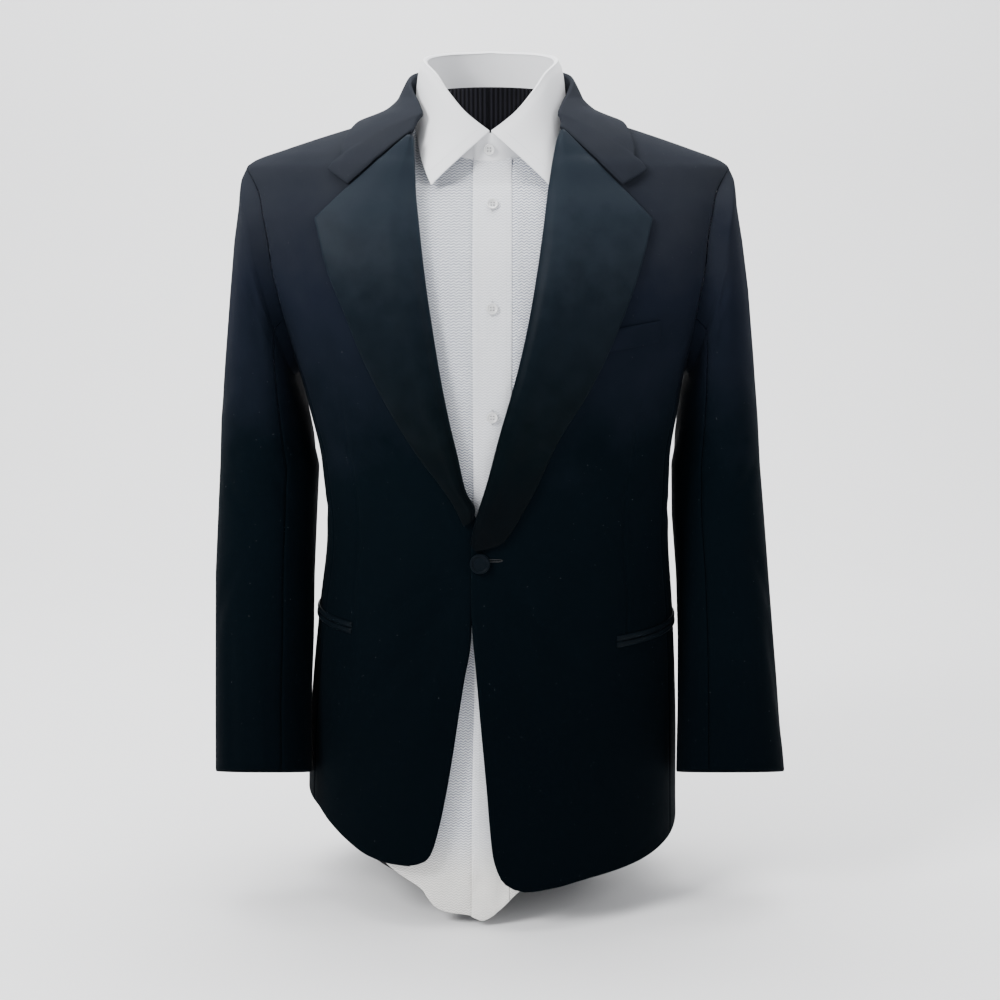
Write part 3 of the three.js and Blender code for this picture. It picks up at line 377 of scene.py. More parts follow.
# Folds in the cloth, longer and softer than a crease: start, end, depth and half width.
# A negative depth is a ridge. On the front and back they are placed by x and z.
FRONT_FOLDS = [
    (-46, 300, -165, 92, 1.5, 13),
    (-22, 330, -96, 120, -1.0, 12),
    (-70, 420, -172, 400, 1.1, 9),
    (-60, 470, -176, 540, 0.8, 14),
    (14, 330, 64, 120, 1.2, 14),
    (40, 350, 150, 190, -0.9, 15),
    (64, 418, 172, 372, 1.0, 9),
    (80, 500, 176, 560, 0.8, 13),
    (-196, 640, -150, 520, 1.4, 12),
    (198, 650, 158, 500, 1.6, 13),
    (-222, 700, -182, 610, 1.1, 9),
    (222, 706, 186, 600, 1.1, 9),
    (120, 250, 158, 70, 1.0, 16),
    (-112, 240, -140, 96, 0.8, 17),
]
BACK_FOLDS = [
    (-30, 410, -150, 330, 1.8, 12),
    (26, 404, 150, 346, 1.5, 11),
    (-20, 372, -120, 280, 1.2, 13),
    (34, 366, 110, 262, 1.3, 12),
    (-96, 690, -190, 590, 2.0, 15),
    (92, 700, 186, 598, 1.7, 14),
    (-60, 640, -160, 520, -1.2, 16),
    (64, 630, 168, 500, -1.0, 17),
    (-52, 280, -70, 96, 1.4, 18),
    (58, 290, 84, 90, 1.6, 17),
    (-118, 260, -132, 90, -1.1, 16),
    (126, 240, 140, 92, -1.2, 18),
    (-12, 775, -70, 740, 1.0, 9),
    (16, 778, 76, 744, 0.9, 9),
]
SIDE_FOLDS = [
    (-40, 420, 40, 392, 1.3, 9),
    (50, 452, -24, 430, 1.0, 8),
    (20, 350, 6, 120, 1.2, 14),
    (-30, 300, -22, 110, -0.8, 12),
]


def jacket_folds(places):
    """Relief of the jacket's body: each side of it has its own list of folds."""
    x, y, z = places[..., 0], places[..., 1], places[..., 2]
    front = sum(trough(x, z, line) for line in FRONT_FOLDS)
    back = sum(trough(x, z, line) for line in BACK_FOLDS)
    sides = sum(trough(y, z, line) for line in SIDE_FOLDS)
    facing = unit(np.stack([x / 1.4, y], axis=-1))
    forward = smooth(0.15, 0.6, -facing[..., 1])
    backward = smooth(0.15, 0.6, facing[..., 1])
    return front * forward + back * backward + sides * (1 - forward) * (1 - backward)


def jacket_point(angle, z, out):
    places = skin(angle, z)
    return raised(skin, angle, z, out + pulled(places) + jacket_folds(places))


SHIRT_FOLDS = [
    (-60, 742, -40, 640, 2.8, 4.5),
    (-48, 738, -30, 630, -1.4, 4),
    (-38, 720, -24, 560, 2.2, 4.5),
    (44, 726, 30, 600, 2.4, 4.5),
    (31, 700, 34, 540, 1.4, 3.5),
    (38, 620, 26, 480, -1.0, 6),
    (-56, 620, -34, 470, 1.9, 5),
    (-30, 560, -24, 440, 1.1, 6),
    (10, 470, 22, 400, 0.9, 5),
    (-14, 470, -8, 400, 0.8, 5),
    (-22, 230, -34, 40, 1.4, 6),
    (-6, 60, -30, 6, 1.8, 7),
    (-34, 70, -44, 24, 1.6, 7),
    (16, 66, 8, 14, 1.4, 6),
]


def shirt_point(angle, level, out):
    places = under_body(angle, level)
    relief = sum(trough(places[..., 0], places[..., 2], line) for line in SHIRT_FOLDS)
    relief = np.where(places[..., 1] < 0, relief, 0)
    return raised(under_body, angle, level, shirt_inset(level) + out + relief)


# Meshes

def spread(start, end, count):
    return np.linspace(start, end, count + 1)


def edged(count, length, edges=(0.7, 2.2)):
    """Even shares of a length, with closer ones near both ends so that an edge can round off."""
    close = [edge / length for edge in edges]
    middle = spread(0, 1, count)
    middle = middle[(middle > close[-1] * 1.6) & (middle < 1 - close[-1] * 1.6)]
    return np.concatenate([[0], close, middle, [1 - value for value in reversed(close)], [1]])


def grid_faces(height, width, start, tube, flip):
    i = np.arange(height - 1)[:, None]
    columns = width if tube else width - 1
    j = np.arange(columns)[None, :]
    a = start + i * width + j
    b = start + i * width + (j + 1) % width
    c = start + (i + 1) * width + (j + 1) % width
    d = start + (i + 1) * width + j
    faces = np.stack([a, b, c, d], axis=-1).reshape(-1, 4)
    return faces[:, ::-1] if flip else faces


def strip_faces(outer_line, inner_line, closed):
    a = np.asarray(outer_line)
    b = np.asarray(inner_line)
    if closed:
        a = np.append(a, a[0])
        b = np.append(b, b[0])
    return np.stack([a[:-1], b[:-1], b[1:], a[1:]], axis=-1)


def lengths(places, axis):
    steps = np.linalg.norm(np.diff(places, axis=axis), axis=-1)
    total = np.cumsum(steps, axis=axis)
    pad = [(1, 0) if axis == side else (0, 0) for side in (0, 1)]
    return np.pad(total, pad)


def make_mesh(name, positions, faces, uvs, material, sharp=50):
    mesh = bpy.data.meshes.new(name)
    mesh.from_pydata((positions * MILLIMETRE).tolist(), [], [list(face) for face in faces])
    mesh.update()
    if uvs is not None:
        layer = mesh.uv_layers.new(name="cloth")
        corners = np.concatenate([np.asarray(face) for face in faces])
        layer.data.foreach_set("uv", uvs[corners].astype(np.float32).ravel())
    mesh.polygons.foreach_set("use_smooth", np.ones(len(mesh.polygons), bool))
    mesh.set_sharp_from_angle(angle=math.radians(sharp))
    mesh.materials.append(material)
    thing = bpy.data.objects.new(name, mesh)
    bpy.context.scene.collection.objects.link(thing)
    return thing


def volume(positions, faces):
    a = positions[faces[:, 0]]
    total = 0
    for j in (1, 2):
        total += np.einsum("ij,ij->", a, np.cross(positions[faces[:, j]], positions[faces[:, j + 1]]))
    return total


def wall(name, outer, inner, material, tube=False):
    """A closed wall of cloth between two grids of points. Its UVs run along the cloth, in metres."""
    height, width = outer.shape[:2]
    count = height * width
    positions = np.concatenate([outer.reshape(-1, 3), inner.reshape(-1, 3)])
    index = np.arange(2 * count).reshape(2, height, width)
    parts = [grid_faces(height, width, 0, tube, False), grid_faces(height, width, count, tube, True)]
    parts.append(strip_faces(index[0, 0], index[1, 0], tube))
    parts.append(strip_faces(index[1, -1], index[0, -1], tube))
    if not tube:
        parts.append(strip_faces(index[1, :, 0], index[0, :, 0], False))
        parts.append(strip_faces(index[0, :, -1], index[1, :, -1], False))
    faces = np.concatenate(parts)
    if volume(positions, faces) < 0:
        faces = faces[:, ::-1]
    middle = outer[:, width // 2, 2].mean()
    along = lengths(outer, 1)
    along = along - along[:, width // 2:width // 2 + 1] + outer[:, width // 2, 0][:, None]
    up = lengths(outer, 0)
    up = up - up[height // 2:height // 2 + 1] + middle
    uv = np.stack([along, up], axis=-1).reshape(-1, 2) * MILLIMETRE
    return make_mesh(name, positions, faces, np.concatenate([uv, uv]), material)


# Materials

class Nodes:
    """A material's node tree, with short calls for the nodes that the finishes share."""

    def __init__(self, name, **sockets):
        self.material = bpy.data.materials.new(name)
        self.material.use_nodes = True
        self.tree = self.material.node_tree
        self.shader = self.tree.nodes["Principled BSDF"]
        for socket, value in sockets.items():
            self.shader.inputs[socket.replace("_", " ")].default_value = value
        self.heights = []

    def new(self, kind, **settings):
        node = self.tree.nodes.new("ShaderNode" + kind)
        for key, value in settings.items():
            if key in node.inputs:
                self.put(node.inputs[key], value)
            else:
                setattr(node, key, value)
        return node

    def put(self, socket, value):
        if isinstance(value, bpy.types.NodeSocket):
            self.tree.links.new(value, socket)
        else:
            socket.default_value = value

    def sum(self, operation, a, b=0.0, c=0.0):
        node = self.tree.nodes.new("ShaderNodeMath")
        node.operation = operation
        for socket, value in zip(node.inputs, (a, b, c)):
            self.put(socket, value)
        return node.outputs[0]

    def place(self, kind="UV"):
        """The UV or object coordinates, in millimetres, as x, y and z sockets."""
        source = self.new("TexCoord").outputs[kind]
        scaled = self.new("VectorMath", operation="SCALE")
        self.put(scaled.inputs[0], source)
        scaled.inputs["Scale"].default_value = 1 / MILLIMETRE
        split = self.new("SeparateXYZ")
        self.put(split.inputs[0], scaled.outputs[0])
        return scaled.outputs[0], split.outputs[0], split.outputs[1], split.outputs[2]

    def noise(self, vector, scale, detail=3.0, roughness=0.55):
        node = self.new("TexNoise", Vector=vector, Scale=scale, Detail=detail, Roughness=roughness)
        return node.outputs["Fac"]

    def stripes(self, value, period):
        """A sine wave from 0 to 1 along a socket's value."""
        turned = self.sum("MULTIPLY", value, TURN / period)
        return self.sum("MULTIPLY_ADD", self.sum("SINE", turned), 0.5, 0.5)

    def ramp(self, value, stops, colours=None):
        node = self.new("ValToRGB")
        self.put(node.inputs[0], value)
        ends = node.color_ramp.elements
        while len(ends) < len(stops):
            ends.new(0.5)
        for i, stop in enumerate(stops):
            ends[i].position = stop
            shade = colours[i] if colours else (i / (len(stops) - 1),) * 3
            ends[i].color = (*shade, 1)
        return node.outputs[0]

    def blend(self, factor, a, b, blend_type="MIX"):
        node = self.tree.nodes.new("ShaderNodeMix")
        node.data_type = "RGBA"
        node.blend_type = blend_type
        self.put(node.inputs[0], factor)
        for socket, value in ((node.inputs[6], a), (node.inputs[7], b)):
            self.put(socket, value if isinstance(value, bpy.types.NodeSocket) else (*value, 1))
        return node.outputs[2]

    def bump(self, value, distance, strength=1.0):
        """Adds a relief of this height in millimetres to the shader's normal."""
        node = self.new("Bump", Height=value, Strength=strength, Distance=distance * MILLIMETRE)
        if self.heights:
            self.put(node.inputs["Normal"], self.heights[-1])
        self.heights.append(node.outputs[0])
        self.put(self.shader.inputs["Normal"], node.outputs[0])

    def painted_light_by_height(self, height, cloud, low, high, stops, shades):
        """A colour by height, from low to high in millimetres, made uneven by a soft cloud: painted light and
        shade, lighter higher up as if lit from above.
        """
        risen = self.sum("MULTIPLY", self.sum("SUBTRACT", height, low), 1 / (high - low))
        uneven = self.sum("MULTIPLY_ADD", cloud, 0.3, -0.15)
        return self.ramp(self.sum("ADD", risen, uneven), stops, shades)

    def colour(self, value):
        self.put(self.shader.inputs["Base Color"], value)


def wool_material(name, low, high, stops, shades):
    """Fine wool twill, nearly black, and greyer with height: painted light from above on the shoulders and
    painted shade lower down.
    """
    n = Nodes(name, Roughness=0.86, Sheen_Weight=0.012, Sheen_Roughness=0.4, Specular_IOR_Level=0.02)
    n.shader.inputs["Sheen Tint"].default_value = (0.6, 0.68, 0.8, 1)
    _, u, v, _ = n.place()
    body, _, _, height = n.place("Object")
    diagonal = n.sum("ADD", u, v)
    twill = n.stripes(diagonal, 1.1)
    yarn = n.stripes(u, 0.55)
    cloud = n.noise(body, 0.012, 4.0)
    fuzz = n.noise(body, 0.9, 2.0)
    lint = n.ramp(n.noise(body, 0.42, 1.0, 0.4), (0.79, 0.82))
    # Painted light and shade: the wool's colour grows lighter the higher it lies.
    base = n.painted_light_by_height(height, cloud, low, high, stops, shades)
    base = n.blend(n.sum("MULTIPLY", twill, 0.28), base, (0, 0.0004, 0.0008))
    base = n.blend(n.sum("MULTIPLY", lint, 0.2), base, (0.2, 0.21, 0.23))
    n.colour(base)
    n.bump(n.noise(body, 0.035, 3.0), 1.2, 0.5)
    n.bump(n.sum("ADD", n.sum("MULTIPLY", twill, 0.7), n.sum("MULTIPLY", yarn, 0.3)), 0.12, 0.55)
    n.bump(fuzz, 0.2, 0.35)
    return n.material


def satin_material(name, low, high, stops, shades):
    """Slate satin: its sheen comes from low roughness along the ribs. Its colour is painted lighter with height:
    painted light from above and painted shade lower down.
    """
    n = Nodes(name, Roughness=0.4, Specular_IOR_Level=0.03, Sheen_Weight=0.012, Sheen_Roughness=0.35,
              Anisotropic=0.45)
    n.shader.inputs["Sheen Tint"].default_value = (0.66, 0.75, 0.9, 1)
    _, _, v, _ = n.place()
    body, _, _, height = n.place("Object")
    thread = n.stripes(v, 0.42)
    slub = n.noise(body, 0.05, 3.0)
    fine = n.noise(body, 0.6, 2.0)
    # Painted light and shade: the satin's colour grows lighter the higher it lies.
    base = n.painted_light_by_height(height, slub, low, high, stops, shades)
    n.colour(base)
    rough = n.sum("MULTIPLY_ADD", fine, 0.12, 0.34)
    n.put(n.shader.inputs["Roughness"], rough)
    n.bump(slub, 0.8, 0.4)
    n.bump(thread, 0.05, 0.4)
    return n.material


def dobby_material(name, depth):
    """White cotton with rows of a fine woven zig-zag, dimmer by the given depth between the rows."""
    n = Nodes(name, Roughness=0.74, Sheen_Weight=0.18, Sheen_Roughness=0.4, Specular_IOR_Level=0.35)
    body, across, _, height = n.place("Object")
    wander = n.noise(body, 0.14, 2.0)
    zig = n.sum("PINGPONG", across, 2.5)
    bent = n.sum("ADD", n.sum("MULTIPLY_ADD", zig, 0.75, height), n.sum("MULTIPLY", wander, 2.4))
    row = n.stripes(bent, 2.7)
    rib = n.ramp(n.sum("MULTIPLY_ADD", n.noise(body, 0.5, 2.0), 0.7, n.sum("ADD", row, -0.35)), (0.3, 0.62))
    yarn = n.stripes(across, 0.7)
    cloud = n.noise(body, 0.02, 3.0)
    yellowed = n.sum("SUBTRACT", 1.0, smooth_socket(n, height, 40.0, 110.0))
    white = (0.9, 0.905, 0.92)
    base = n.blend(rib, tuple((1 - depth * share) * c for share, c in zip((1, 0.97, 0.88), white)), white)
    # Soft bluish-grey patches from a noise cloud: painted soft shade in random places.
    base = n.blend(n.sum("MULTIPLY", cloud, 0.35), base, (0.66, 0.7, 0.8))
    base = n.blend(n.sum("MULTIPLY", yellowed, 0.6), base, (0.85, 0.81, 0.72))
    n.colour(base)
    n.bump(n.noise(body, 0.04, 3.0), 1.6, 0.5)
    n.bump(rib, 0.3, 0.8)
    n.bump(yarn, 0.05, 0.4)
    return n.material


def smooth_socket(nodes, value, start, end):
    node = nodes.new("MapRange", interpolation_type="SMOOTHSTEP")
    nodes.put(node.inputs["Value"], value)
    node.inputs["From Min"].default_value = start
    node.inputs["From Max"].default_value = end
    return node.outputs[0]


def cotton_material(name):
    """The plainer white cloth of the collar, the placket and the cuffs."""
    n = Nodes(name, Roughness=0.7, Sheen_Weight=0.15, Sheen_Roughness=0.4, Specular_IOR_Level=0.35)
    _, u, v, _ = n.place()
    body, _, _, height = n.place("Object")
    weave = n.sum("MULTIPLY", n.stripes(u, 0.6), n.stripes(v, 0.6))
    cloud = n.noise(body, 0.025, 3.0)
    base = n.blend(n.sum("MULTIPLY", cloud, 0.3), (0.88, 0.885, 0.9), (0.8, 0.81, 0.84))
    yellowed = n.sum("SUBTRACT", 1.0, smooth_socket(n, height, 40.0, 110.0))
    base = n.blend(n.sum("MULTIPLY", yellowed, 0.6), base, (0.85, 0.81, 0.72))
    base = n.blend(n.sum("MULTIPLY", weave, 0.3), base, (0.62, 0.63, 0.67))
    n.colour(base)
    n.bump(n.noise(body, 0.06, 3.0), 0.5, 0.4)
    n.bump(weave, 0.06, 0.5)
    return n.material


def thread_material(name, colour, roughness):
    n = Nodes(name, Roughness=roughness, Sheen_Weight=0.1)
    body, _, _, _ = n.place("Object")
    twist = n.noise(body, 2.5, 2.0)
    n.colour(n.blend(twist, colour, tuple(0.75 * c for c in colour)))
    n.bump(twist, 0.1, 0.6)
    return n.material


def pearl_material(name):
    n = Nodes(name, Roughness=0.22, Coat_Weight=0.5, Coat_Roughness=0.08, Specular_IOR_Level=0.55)
    body, _, _, _ = n.place("Object")
    swirl = n.noise(body, 0.28, 4.0, 0.65)
    n.colour(n.blend(swirl, (0.8, 0.79, 0.76), (0.55, 0.57, 0.6)))
    n.bump(swirl, 0.1, 0.3)
    return n.material


def knit_material(name):
    """Black ribbed knit: ribs run up the form, and small stitches cross them."""
    n = Nodes(name, Roughness=0.93, Sheen_Weight=0.03, Sheen_Roughness=0.5, Specular_IOR_Level=0.04)
    _, u, v, _ = n.place()
    body, _, _, _ = n.place("Object")
    rib = n.stripes(u, 4.6)
    half = n.sum("ADD", v, n.sum("MULTIPLY", n.sum("PINGPONG", u, 1.15), 0.9))
    loop = n.stripes(half, 2.3)
    fuzz = n.noise(body, 0.8, 2.0)
    base = n.blend(rib, (0.0012, 0.0012, 0.0018), (0.011, 0.011, 0.015))
    base = n.blend(n.sum("MULTIPLY", loop, 0.4), base, (0.003, 0.003, 0.004))
    n.colour(base)
    n.bump(rib, 1.0, 0.9)
    n.bump(loop, 0.3, 0.6)
    n.bump(fuzz, 0.25, 0.4)
    return n.material


# The wool's stops run from nearly black at the hem to charcoal at the shoulders: painted light from above and
# painted shade lower down.
WOOL_CLOTH = wool_material(
    "wool_twill", 200, 800, (0, 0.45, 0.72, 1),
    ((0.0006, 0.0022, 0.0036), (0.0013, 0.0037, 0.0058), (0.0082, 0.0108, 0.0185), (0.025, 0.028, 0.035)),
)
# The satin's stops run from black at the lapel's foot to slate at its top: painted light from above and painted
# shade lower down.
SATIN_CLOTH = satin_material(
    "slate_satin", 400, 720, (0, 0.3, 0.68, 1),
    ((0.0003, 0.0012, 0.002), (0.0006, 0.0026, 0.0038), (0.0048, 0.008, 0.0118), (0.0135, 0.019, 0.026)),
)
# The trim's two stops make it lighter higher up: painted light from above and painted shade lower down.
TRIM_SATIN = satin_material(
    "trim_satin", 200, 720, (0, 1), ((0.0016, 0.0032, 0.0045), (0.006, 0.009, 0.0135)),
)
DOBBY = dobby_material("zigzag_dobby", 0.8)
PLACKET_DOBBY = dobby_material("placket_dobby", 0.3)
COTTON = cotton_material("plain_cotton")
PEARL = pearl_material("pearl")
KNIT = knit_material("rib_knit")
WHITE_THREAD = thread_material("white_thread", (0.72, 0.73, 0.75), 0.6)
# This finish serves the black thread of the front buttonhole and the painted shade inside the shirt buttons'
# holes.
BLACK_THREAD_AND_HOLE_SHADE = thread_material("black_thread_and_hole_shade", (0.005, 0.006, 0.008), 0.6)


# Jacket body

def piece(thing, nodes=()):
    """Every piece rides on the part's one body."""
    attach(thing, "root")
    if nodes:
        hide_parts(*nodes)
    return thing


def cloth(thing, nodes):
    """A cut piece of cloth, placed on the part's body like every other piece."""
    piece(thing, nodes)
    return thing


def armhole_y(z, is_front, inset=0):
    middle = (ARMHOLE["top"] + ARMHOLE["bottom"]) / 2
    half = (ARMHOLE["top"] - ARMHOLE["bottom"]) / 2 - inset
    share = np.minimum(np.abs(z - middle) / half, 1)
    reach = np.sqrt(1 - share * share)
    return -(ARMHOLE["front"] - inset) * reach if is_front else (ARMHOLE["back"] - inset) * reach


def seam_height(y, is_front):
    middle = (ARMHOLE["top"] + ARMHOLE["bottom"]) / 2
    half = (ARMHOLE["top"] - ARMHOLE["bottom"]) / 2
    share = y / (ARMHOLE["front"] if is_front else ARMHOLE["back"])
    return middle - half * np.sqrt(1 - share * share)


FRONT_SEAM_TOP = float(seam_height(SIDE_SEAMS["front"], True))
BACK_SEAM_TOP = float(seam_height(SIDE_SEAMS["back"], False))
SEAM_TURN = 0.0003
HEM_START = 2
HEM_LEVELS = np.concatenate([[0, 0.004, 0.012], spread(0.03, 1, 44)])
ARM_ROWS = np.concatenate([spread(610, 730, 26), spread(733, 823, 40)])


def outer_angle(z, is_front, side):
    """The outer boundary of a front or back: side seam, then armhole, then shoulder seam."""
    seam_top = FRONT_SEAM_TOP if is_front else BACK_SEAM_TOP
    gap = SEAM_TURN if is_front else -SEAM_TURN
    seam_y = SIDE_SEAMS["front"] if is_front else SIDE_SEAMS["back"]
    y = np.where(z < seam_top + 0.1, seam_y, armhole_y(z, is_front))
    below = angle_at_y(y, np.maximum(z, STRAIGHT_ABOVE_HEM), side) - side * gap
    return np.where(z >= ARMHOLE["top"], side * (math.pi / 2 - gap), below)


def lap(x, z):
    """Where the wearer's left front laps over the right one, it stands off by one wall."""
    return (WOOL + 0.9) * (1 - smooth(34, 90, x)) * smooth(215, 300, z) * (1 - smooth(425, 500, z))


def body_rows(is_front):
    top = FRONT_SEAM_TOP if is_front else BACK_SEAM_TOP
    middle = spread(STRAIGHT_ABOVE_HEM, top, 58)[1:]
    return np.concatenate([middle, ARM_ROWS[ARM_ROWS > top + 2]])


# The dart in each front: a sewn line from the chest down to the hip pocket
DART = rows("z x", [[150, 133], [287, 137], [330, 138], [374, 134], [420, 133], [480, 141], [574, 152],
                    [640, 160], [750, 176], [830, 84]])
DART_ENDS = (292, 560)
dart_at = through(DART, "z", "x")


def front_columns(inner, rim_angle, dart_angle):
    """Angles from the front edge to the side seam, close together at the edge, dart and seam."""
    first = np.concatenate([[0, 0.004, 0.013], spread(0.03, 0.97, 26), [0.984, 0.994]])
    second = np.concatenate([[0, 0.014, 0.04], spread(0.08, 0.97, 14), [0.987, 1.0]])
    left = mix(inner[:, None], dart_angle[:, None], first[None, :])
    right = mix(dart_angle[:, None], rim_angle[:, None], second[None, :])
    return np.concatenate([left, right], axis=1)


def front_panel(name, side):
    edge_at = left_edge_at if side > 0 else right_edge_at
    bottom = hem_at(side * HEM_START)
    low_z = mix(bottom, STRAIGHT_ABOVE_HEM, HEM_LEVELS)
    z = np.concatenate([low_z, body_rows(True)])
    inner = angle_at_x(edge_at(z), z)
    rim_angle = outer_angle(z, True, side)
    dart_angle = angle_at_x(side * dart_at(z), z)
    dart_angle = side * np.clip(side * dart_angle, side * inner + 0.05, side * rim_angle - 0.05)
    angle = front_columns(inner, rim_angle, dart_angle)
    level = np.repeat(z[:, None], angle.shape[1], axis=1)
    hem = hem_at(angle[: len(HEM_LEVELS)] / DEGREE)
    hem[:, 0] = bottom
    level[: len(HEM_LEVELS)] = mix(hem, STRAIGHT_ABOVE_HEM, HEM_LEVELS[:, None])
    places = skin(angle, level)
    stand = lap(places[..., 0], level) if side > 0 else np.zeros(level.shape)
    rounding = edge_drop(places, "lrb")
    dart = np.abs(places[..., 0] - side * dart_at(level))
    deep = smooth(DART_ENDS[0] - 12, DART_ENDS[0], level)
    deep = deep * (1 - smooth(DART_ENDS[1] - 60, DART_ENDS[1], level))
    sewn = -1.0 * np.exp(-((dart / 1.6) ** 2)) * deep + 0.5 * np.exp(-((dart / 7) ** 2)) * deep
    outer = jacket_point(angle, level, stand + rounding + sewn)
    inner_face = jacket_point(angle, level, stand - WOOL)
    return wall(name, outer, inner_face, WOOL_CLOTH)


def edge_drop(places, sides, thick=WOOL, radius=2.4):
    """Rounds an outer face down towards its free edges, by the distance along the cloth."""
    across = lengths(places, 1)
    up = lengths(places, 0)
    distances = {
        "l": across,
        "r": across[:, -1:] - across,
        "b": up,
        "t": up[-1:] - up,
    }
    nearest = np.full(across.shape, 1e9)
    for side in sides:
        nearest = np.minimum(nearest, distances[side])
    t = np.clip(1 - nearest / radius, 0, 0.999)
    return -thick * 0.6 * (1 - np.sqrt(1 - t ** 2))


def back_panel(name, side):
    shares = np.concatenate([[0, 0.006, 0.018], spread(0.04, 0.96, 40), [0.985, 0.995, 1]])
    z = np.concatenate([np.full(len(HEM_LEVELS), STRAIGHT_ABOVE_HEM), body_rows(False)])
    centre = side * (math.pi - SEAM_TURN)
    rim_angle = outer_angle(z, False, side)
    angle = mix(centre, rim_angle[:, None], shares[None, :])
    level = np.repeat(z[:, None], len(shares), axis=1)
    hem = hem_at(angle[: len(HEM_LEVELS)] / DEGREE)
    level[: len(HEM_LEVELS)] = mix(hem, STRAIGHT_ABOVE_HEM, HEM_LEVELS[:, None])
    drop = edge_drop(skin(angle, level), "lrb")
    return wall(name, jacket_point(angle, level, drop), jacket_point(angle, level, -WOOL), WOOL_CLOTH)


def side_panel(name, side):
    shares = np.concatenate([[0, 0.012, 0.03], spread(0.07, 0.93, 20), [0.97, 0.988, 1]])
    y = mix(SIDE_SEAMS["front"], SIDE_SEAMS["back"], shares)
    top = np.where(y < 0, seam_height(y, True), seam_height(y, False)) - 0.3
    steps = spread(0, 1, 58)[1:]
    upper = mix(STRAIGHT_ABOVE_HEM, top[None, :], steps[:, None])
    straight = np.full((len(HEM_LEVELS), len(shares)), float(STRAIGHT_ABOVE_HEM))
    z = np.concatenate([straight, upper])
    angle = angle_at_y(np.broadcast_to(y, z.shape), z, side) + side * SEAM_TURN * (1 - 2 * shares)
    level = z.copy()
    hem = hem_at(angle[: len(HEM_LEVELS)] / DEGREE)
    level[: len(HEM_LEVELS)] = mix(hem, STRAIGHT_ABOVE_HEM, HEM_LEVELS[:, None])
    drop = edge_drop(skin(angle, level), "lrb")
    return wall(name, jacket_point(angle, level, drop), jacket_point(angle, level, -WOOL), WOOL_CLOTH)


for word, side in (("left", 1), ("right", -1)):
    made = {
        "front": front_panel(f"jacket_front_{word}_cloth", side),
        "side": side_panel(f"jacket_side_{word}_cloth", side),
        "back": back_panel(f"jacket_back_{word}_cloth", side),
    }
    for part, thing in made.items():
        cloth(thing, [f"jacket_{part}_{word}"])


# Sleeves

# Folds along each sleeve, by angle round it in degrees and by ring: start, end, depth, half width
SLEEVE_FOLDS = {
    1: [
        (20, 8.6, 70, 7.4, 1.8, 11), (95, 6.9, 40, 5.9, 2.0, 10), (60, 5.4, 110, 4.7, 1.6, 11),
        (130, 6.6, 95, 5.6, 1.4, 9), (10, 10.6, 46, 8.4, 1.5, 14), (78, 11.2, 92, 8.2, -1.2, 13),
        (250, 7.4, 300, 6.4, 1.8, 13), (330, 6.2, 280, 5.2, 1.6, 12), (300, 9.8, 320, 7.8, 1.3, 14),
        (40, 1.2, 34, 3.8, 1.2, 13), (85, 1.0, 100, 3.4, 1.6, 12), (320, 1.4, 312, 4.2, 1.3, 14),
        (200, 5.8, 170, 4.6, 1.5, 12), (20, 4.6, 66, 3.9, 1.2, 11), (270, 2.0, 262, 4.4, 1.2, 12),
    ],
    -1: [
        (24, 8.9, 78, 7.6, 1.5, 12), (92, 7.2, 46, 6.3, 1.8, 10), (54, 5.8, 104, 4.9, 1.7, 11),
        (128, 6.9, 98, 5.9, 1.3, 9), (62, 11.2, 58, 8.6, 1.6, 13), (96, 11.2, 88, 8.4, -1.3, 12),
        (255, 7.7, 306, 6.6, 1.6, 13), (326, 6.5, 276, 5.4, 1.7, 12), (296, 10.2, 316, 8.0, 1.2, 14),
        (44, 1.3, 38, 4.1, 1.1, 13), (82, 1.1, 98, 3.6, 1.5, 12), (316, 1.3, 308, 4.0, 1.4, 14),
        (205, 6.0, 175, 4.8, 1.4, 12), (16, 4.9, 60, 4.1, 1.1, 11), (266, 2.2, 258, 4.6, 1.1, 12),
    ],
}
RING_SPACING = 55


def sleeve_relief(turns, position, side):
    """The folds of one sleeve; degrees round it count as 1.4 mm each, and rings as their spacing."""
    degrees = (turns / DEGREE)[None, :]
    total = np.zeros((len(position), len(turns)))
    for a0, p0, a1, p1, depth, width in SLEEVE_FOLDS[side]:
        middle = (a0 + a1) / 2
        near = middle + (degrees - middle + 180) % 360 - 180
        line = (a0 * 1.4, p0 * RING_SPACING, a1 * 1.4, p1 * RING_SPACING, depth, width)
        total = total + trough(near * 1.4, position[:, None] * RING_SPACING, line)
    return total


def sleeve_row(table, position):
    low = np.clip(np.floor(position).astype(int), 0, len(table["y"]) - 2)
    t = position - low
    return {name: mix(values[low], values[low + 1], t)[:, None] for name, values in table.items()}


def sleeve_rings(table, position, turns, shrink):
    """Rings round a sleeve at positions along its table, pulled in by shrink."""
    row = sleeve_row(table, position)
    bend = 2 / row["square"]
    reach_x = (row["outX"] - row["inX"]) / 2
    reach_z = (row["outZ"] - row["inZ"]) / 2
    size = np.hypot(reach_x, reach_z)
    cosine = power(np.cos(turns)[None, :], bend) * (size - shrink) / size
    sine = power(np.sin(turns)[None, :], bend) * (row["half"] - shrink)
    tilt = row["tilt"] * DEGREE
    x = (row["outX"] + row["inX"]) / 2 + reach_x * cosine
    y = row["y"] - np.cos(tilt) * sine
    z = (row["outZ"] + row["inZ"]) / 2 + reach_z * cosine + np.sin(tilt) * sine
    return point(x, y, z)


def armhole_ring(turns, side, inset, out):
    middle = (ARMHOLE["top"] + ARMHOLE["bottom"]) / 2
    half = (ARMHOLE["top"] - ARMHOLE["bottom"]) / 2 - inset
    z = middle + half * np.cos(turns)
    reach = np.where(np.sin(turns) > 0, ARMHOLE["front"] - inset, ARMHOLE["back"] - inset)
    angle = angle_at_y(-reach * np.sin(turns), z, side)
    return raised(skin, angle, z, out + np.zeros(len(turns)))


SLEEVE_POSITIONS = np.concatenate([spread(0, 3, 24), spread(3, 11, 100)[1:-1], [10.955, 10.985, 11.0]])
SLEEVE_HEAD_STEPS = 9
HEAD_TUCK = {"inset": 0.35, "out": -0.9}


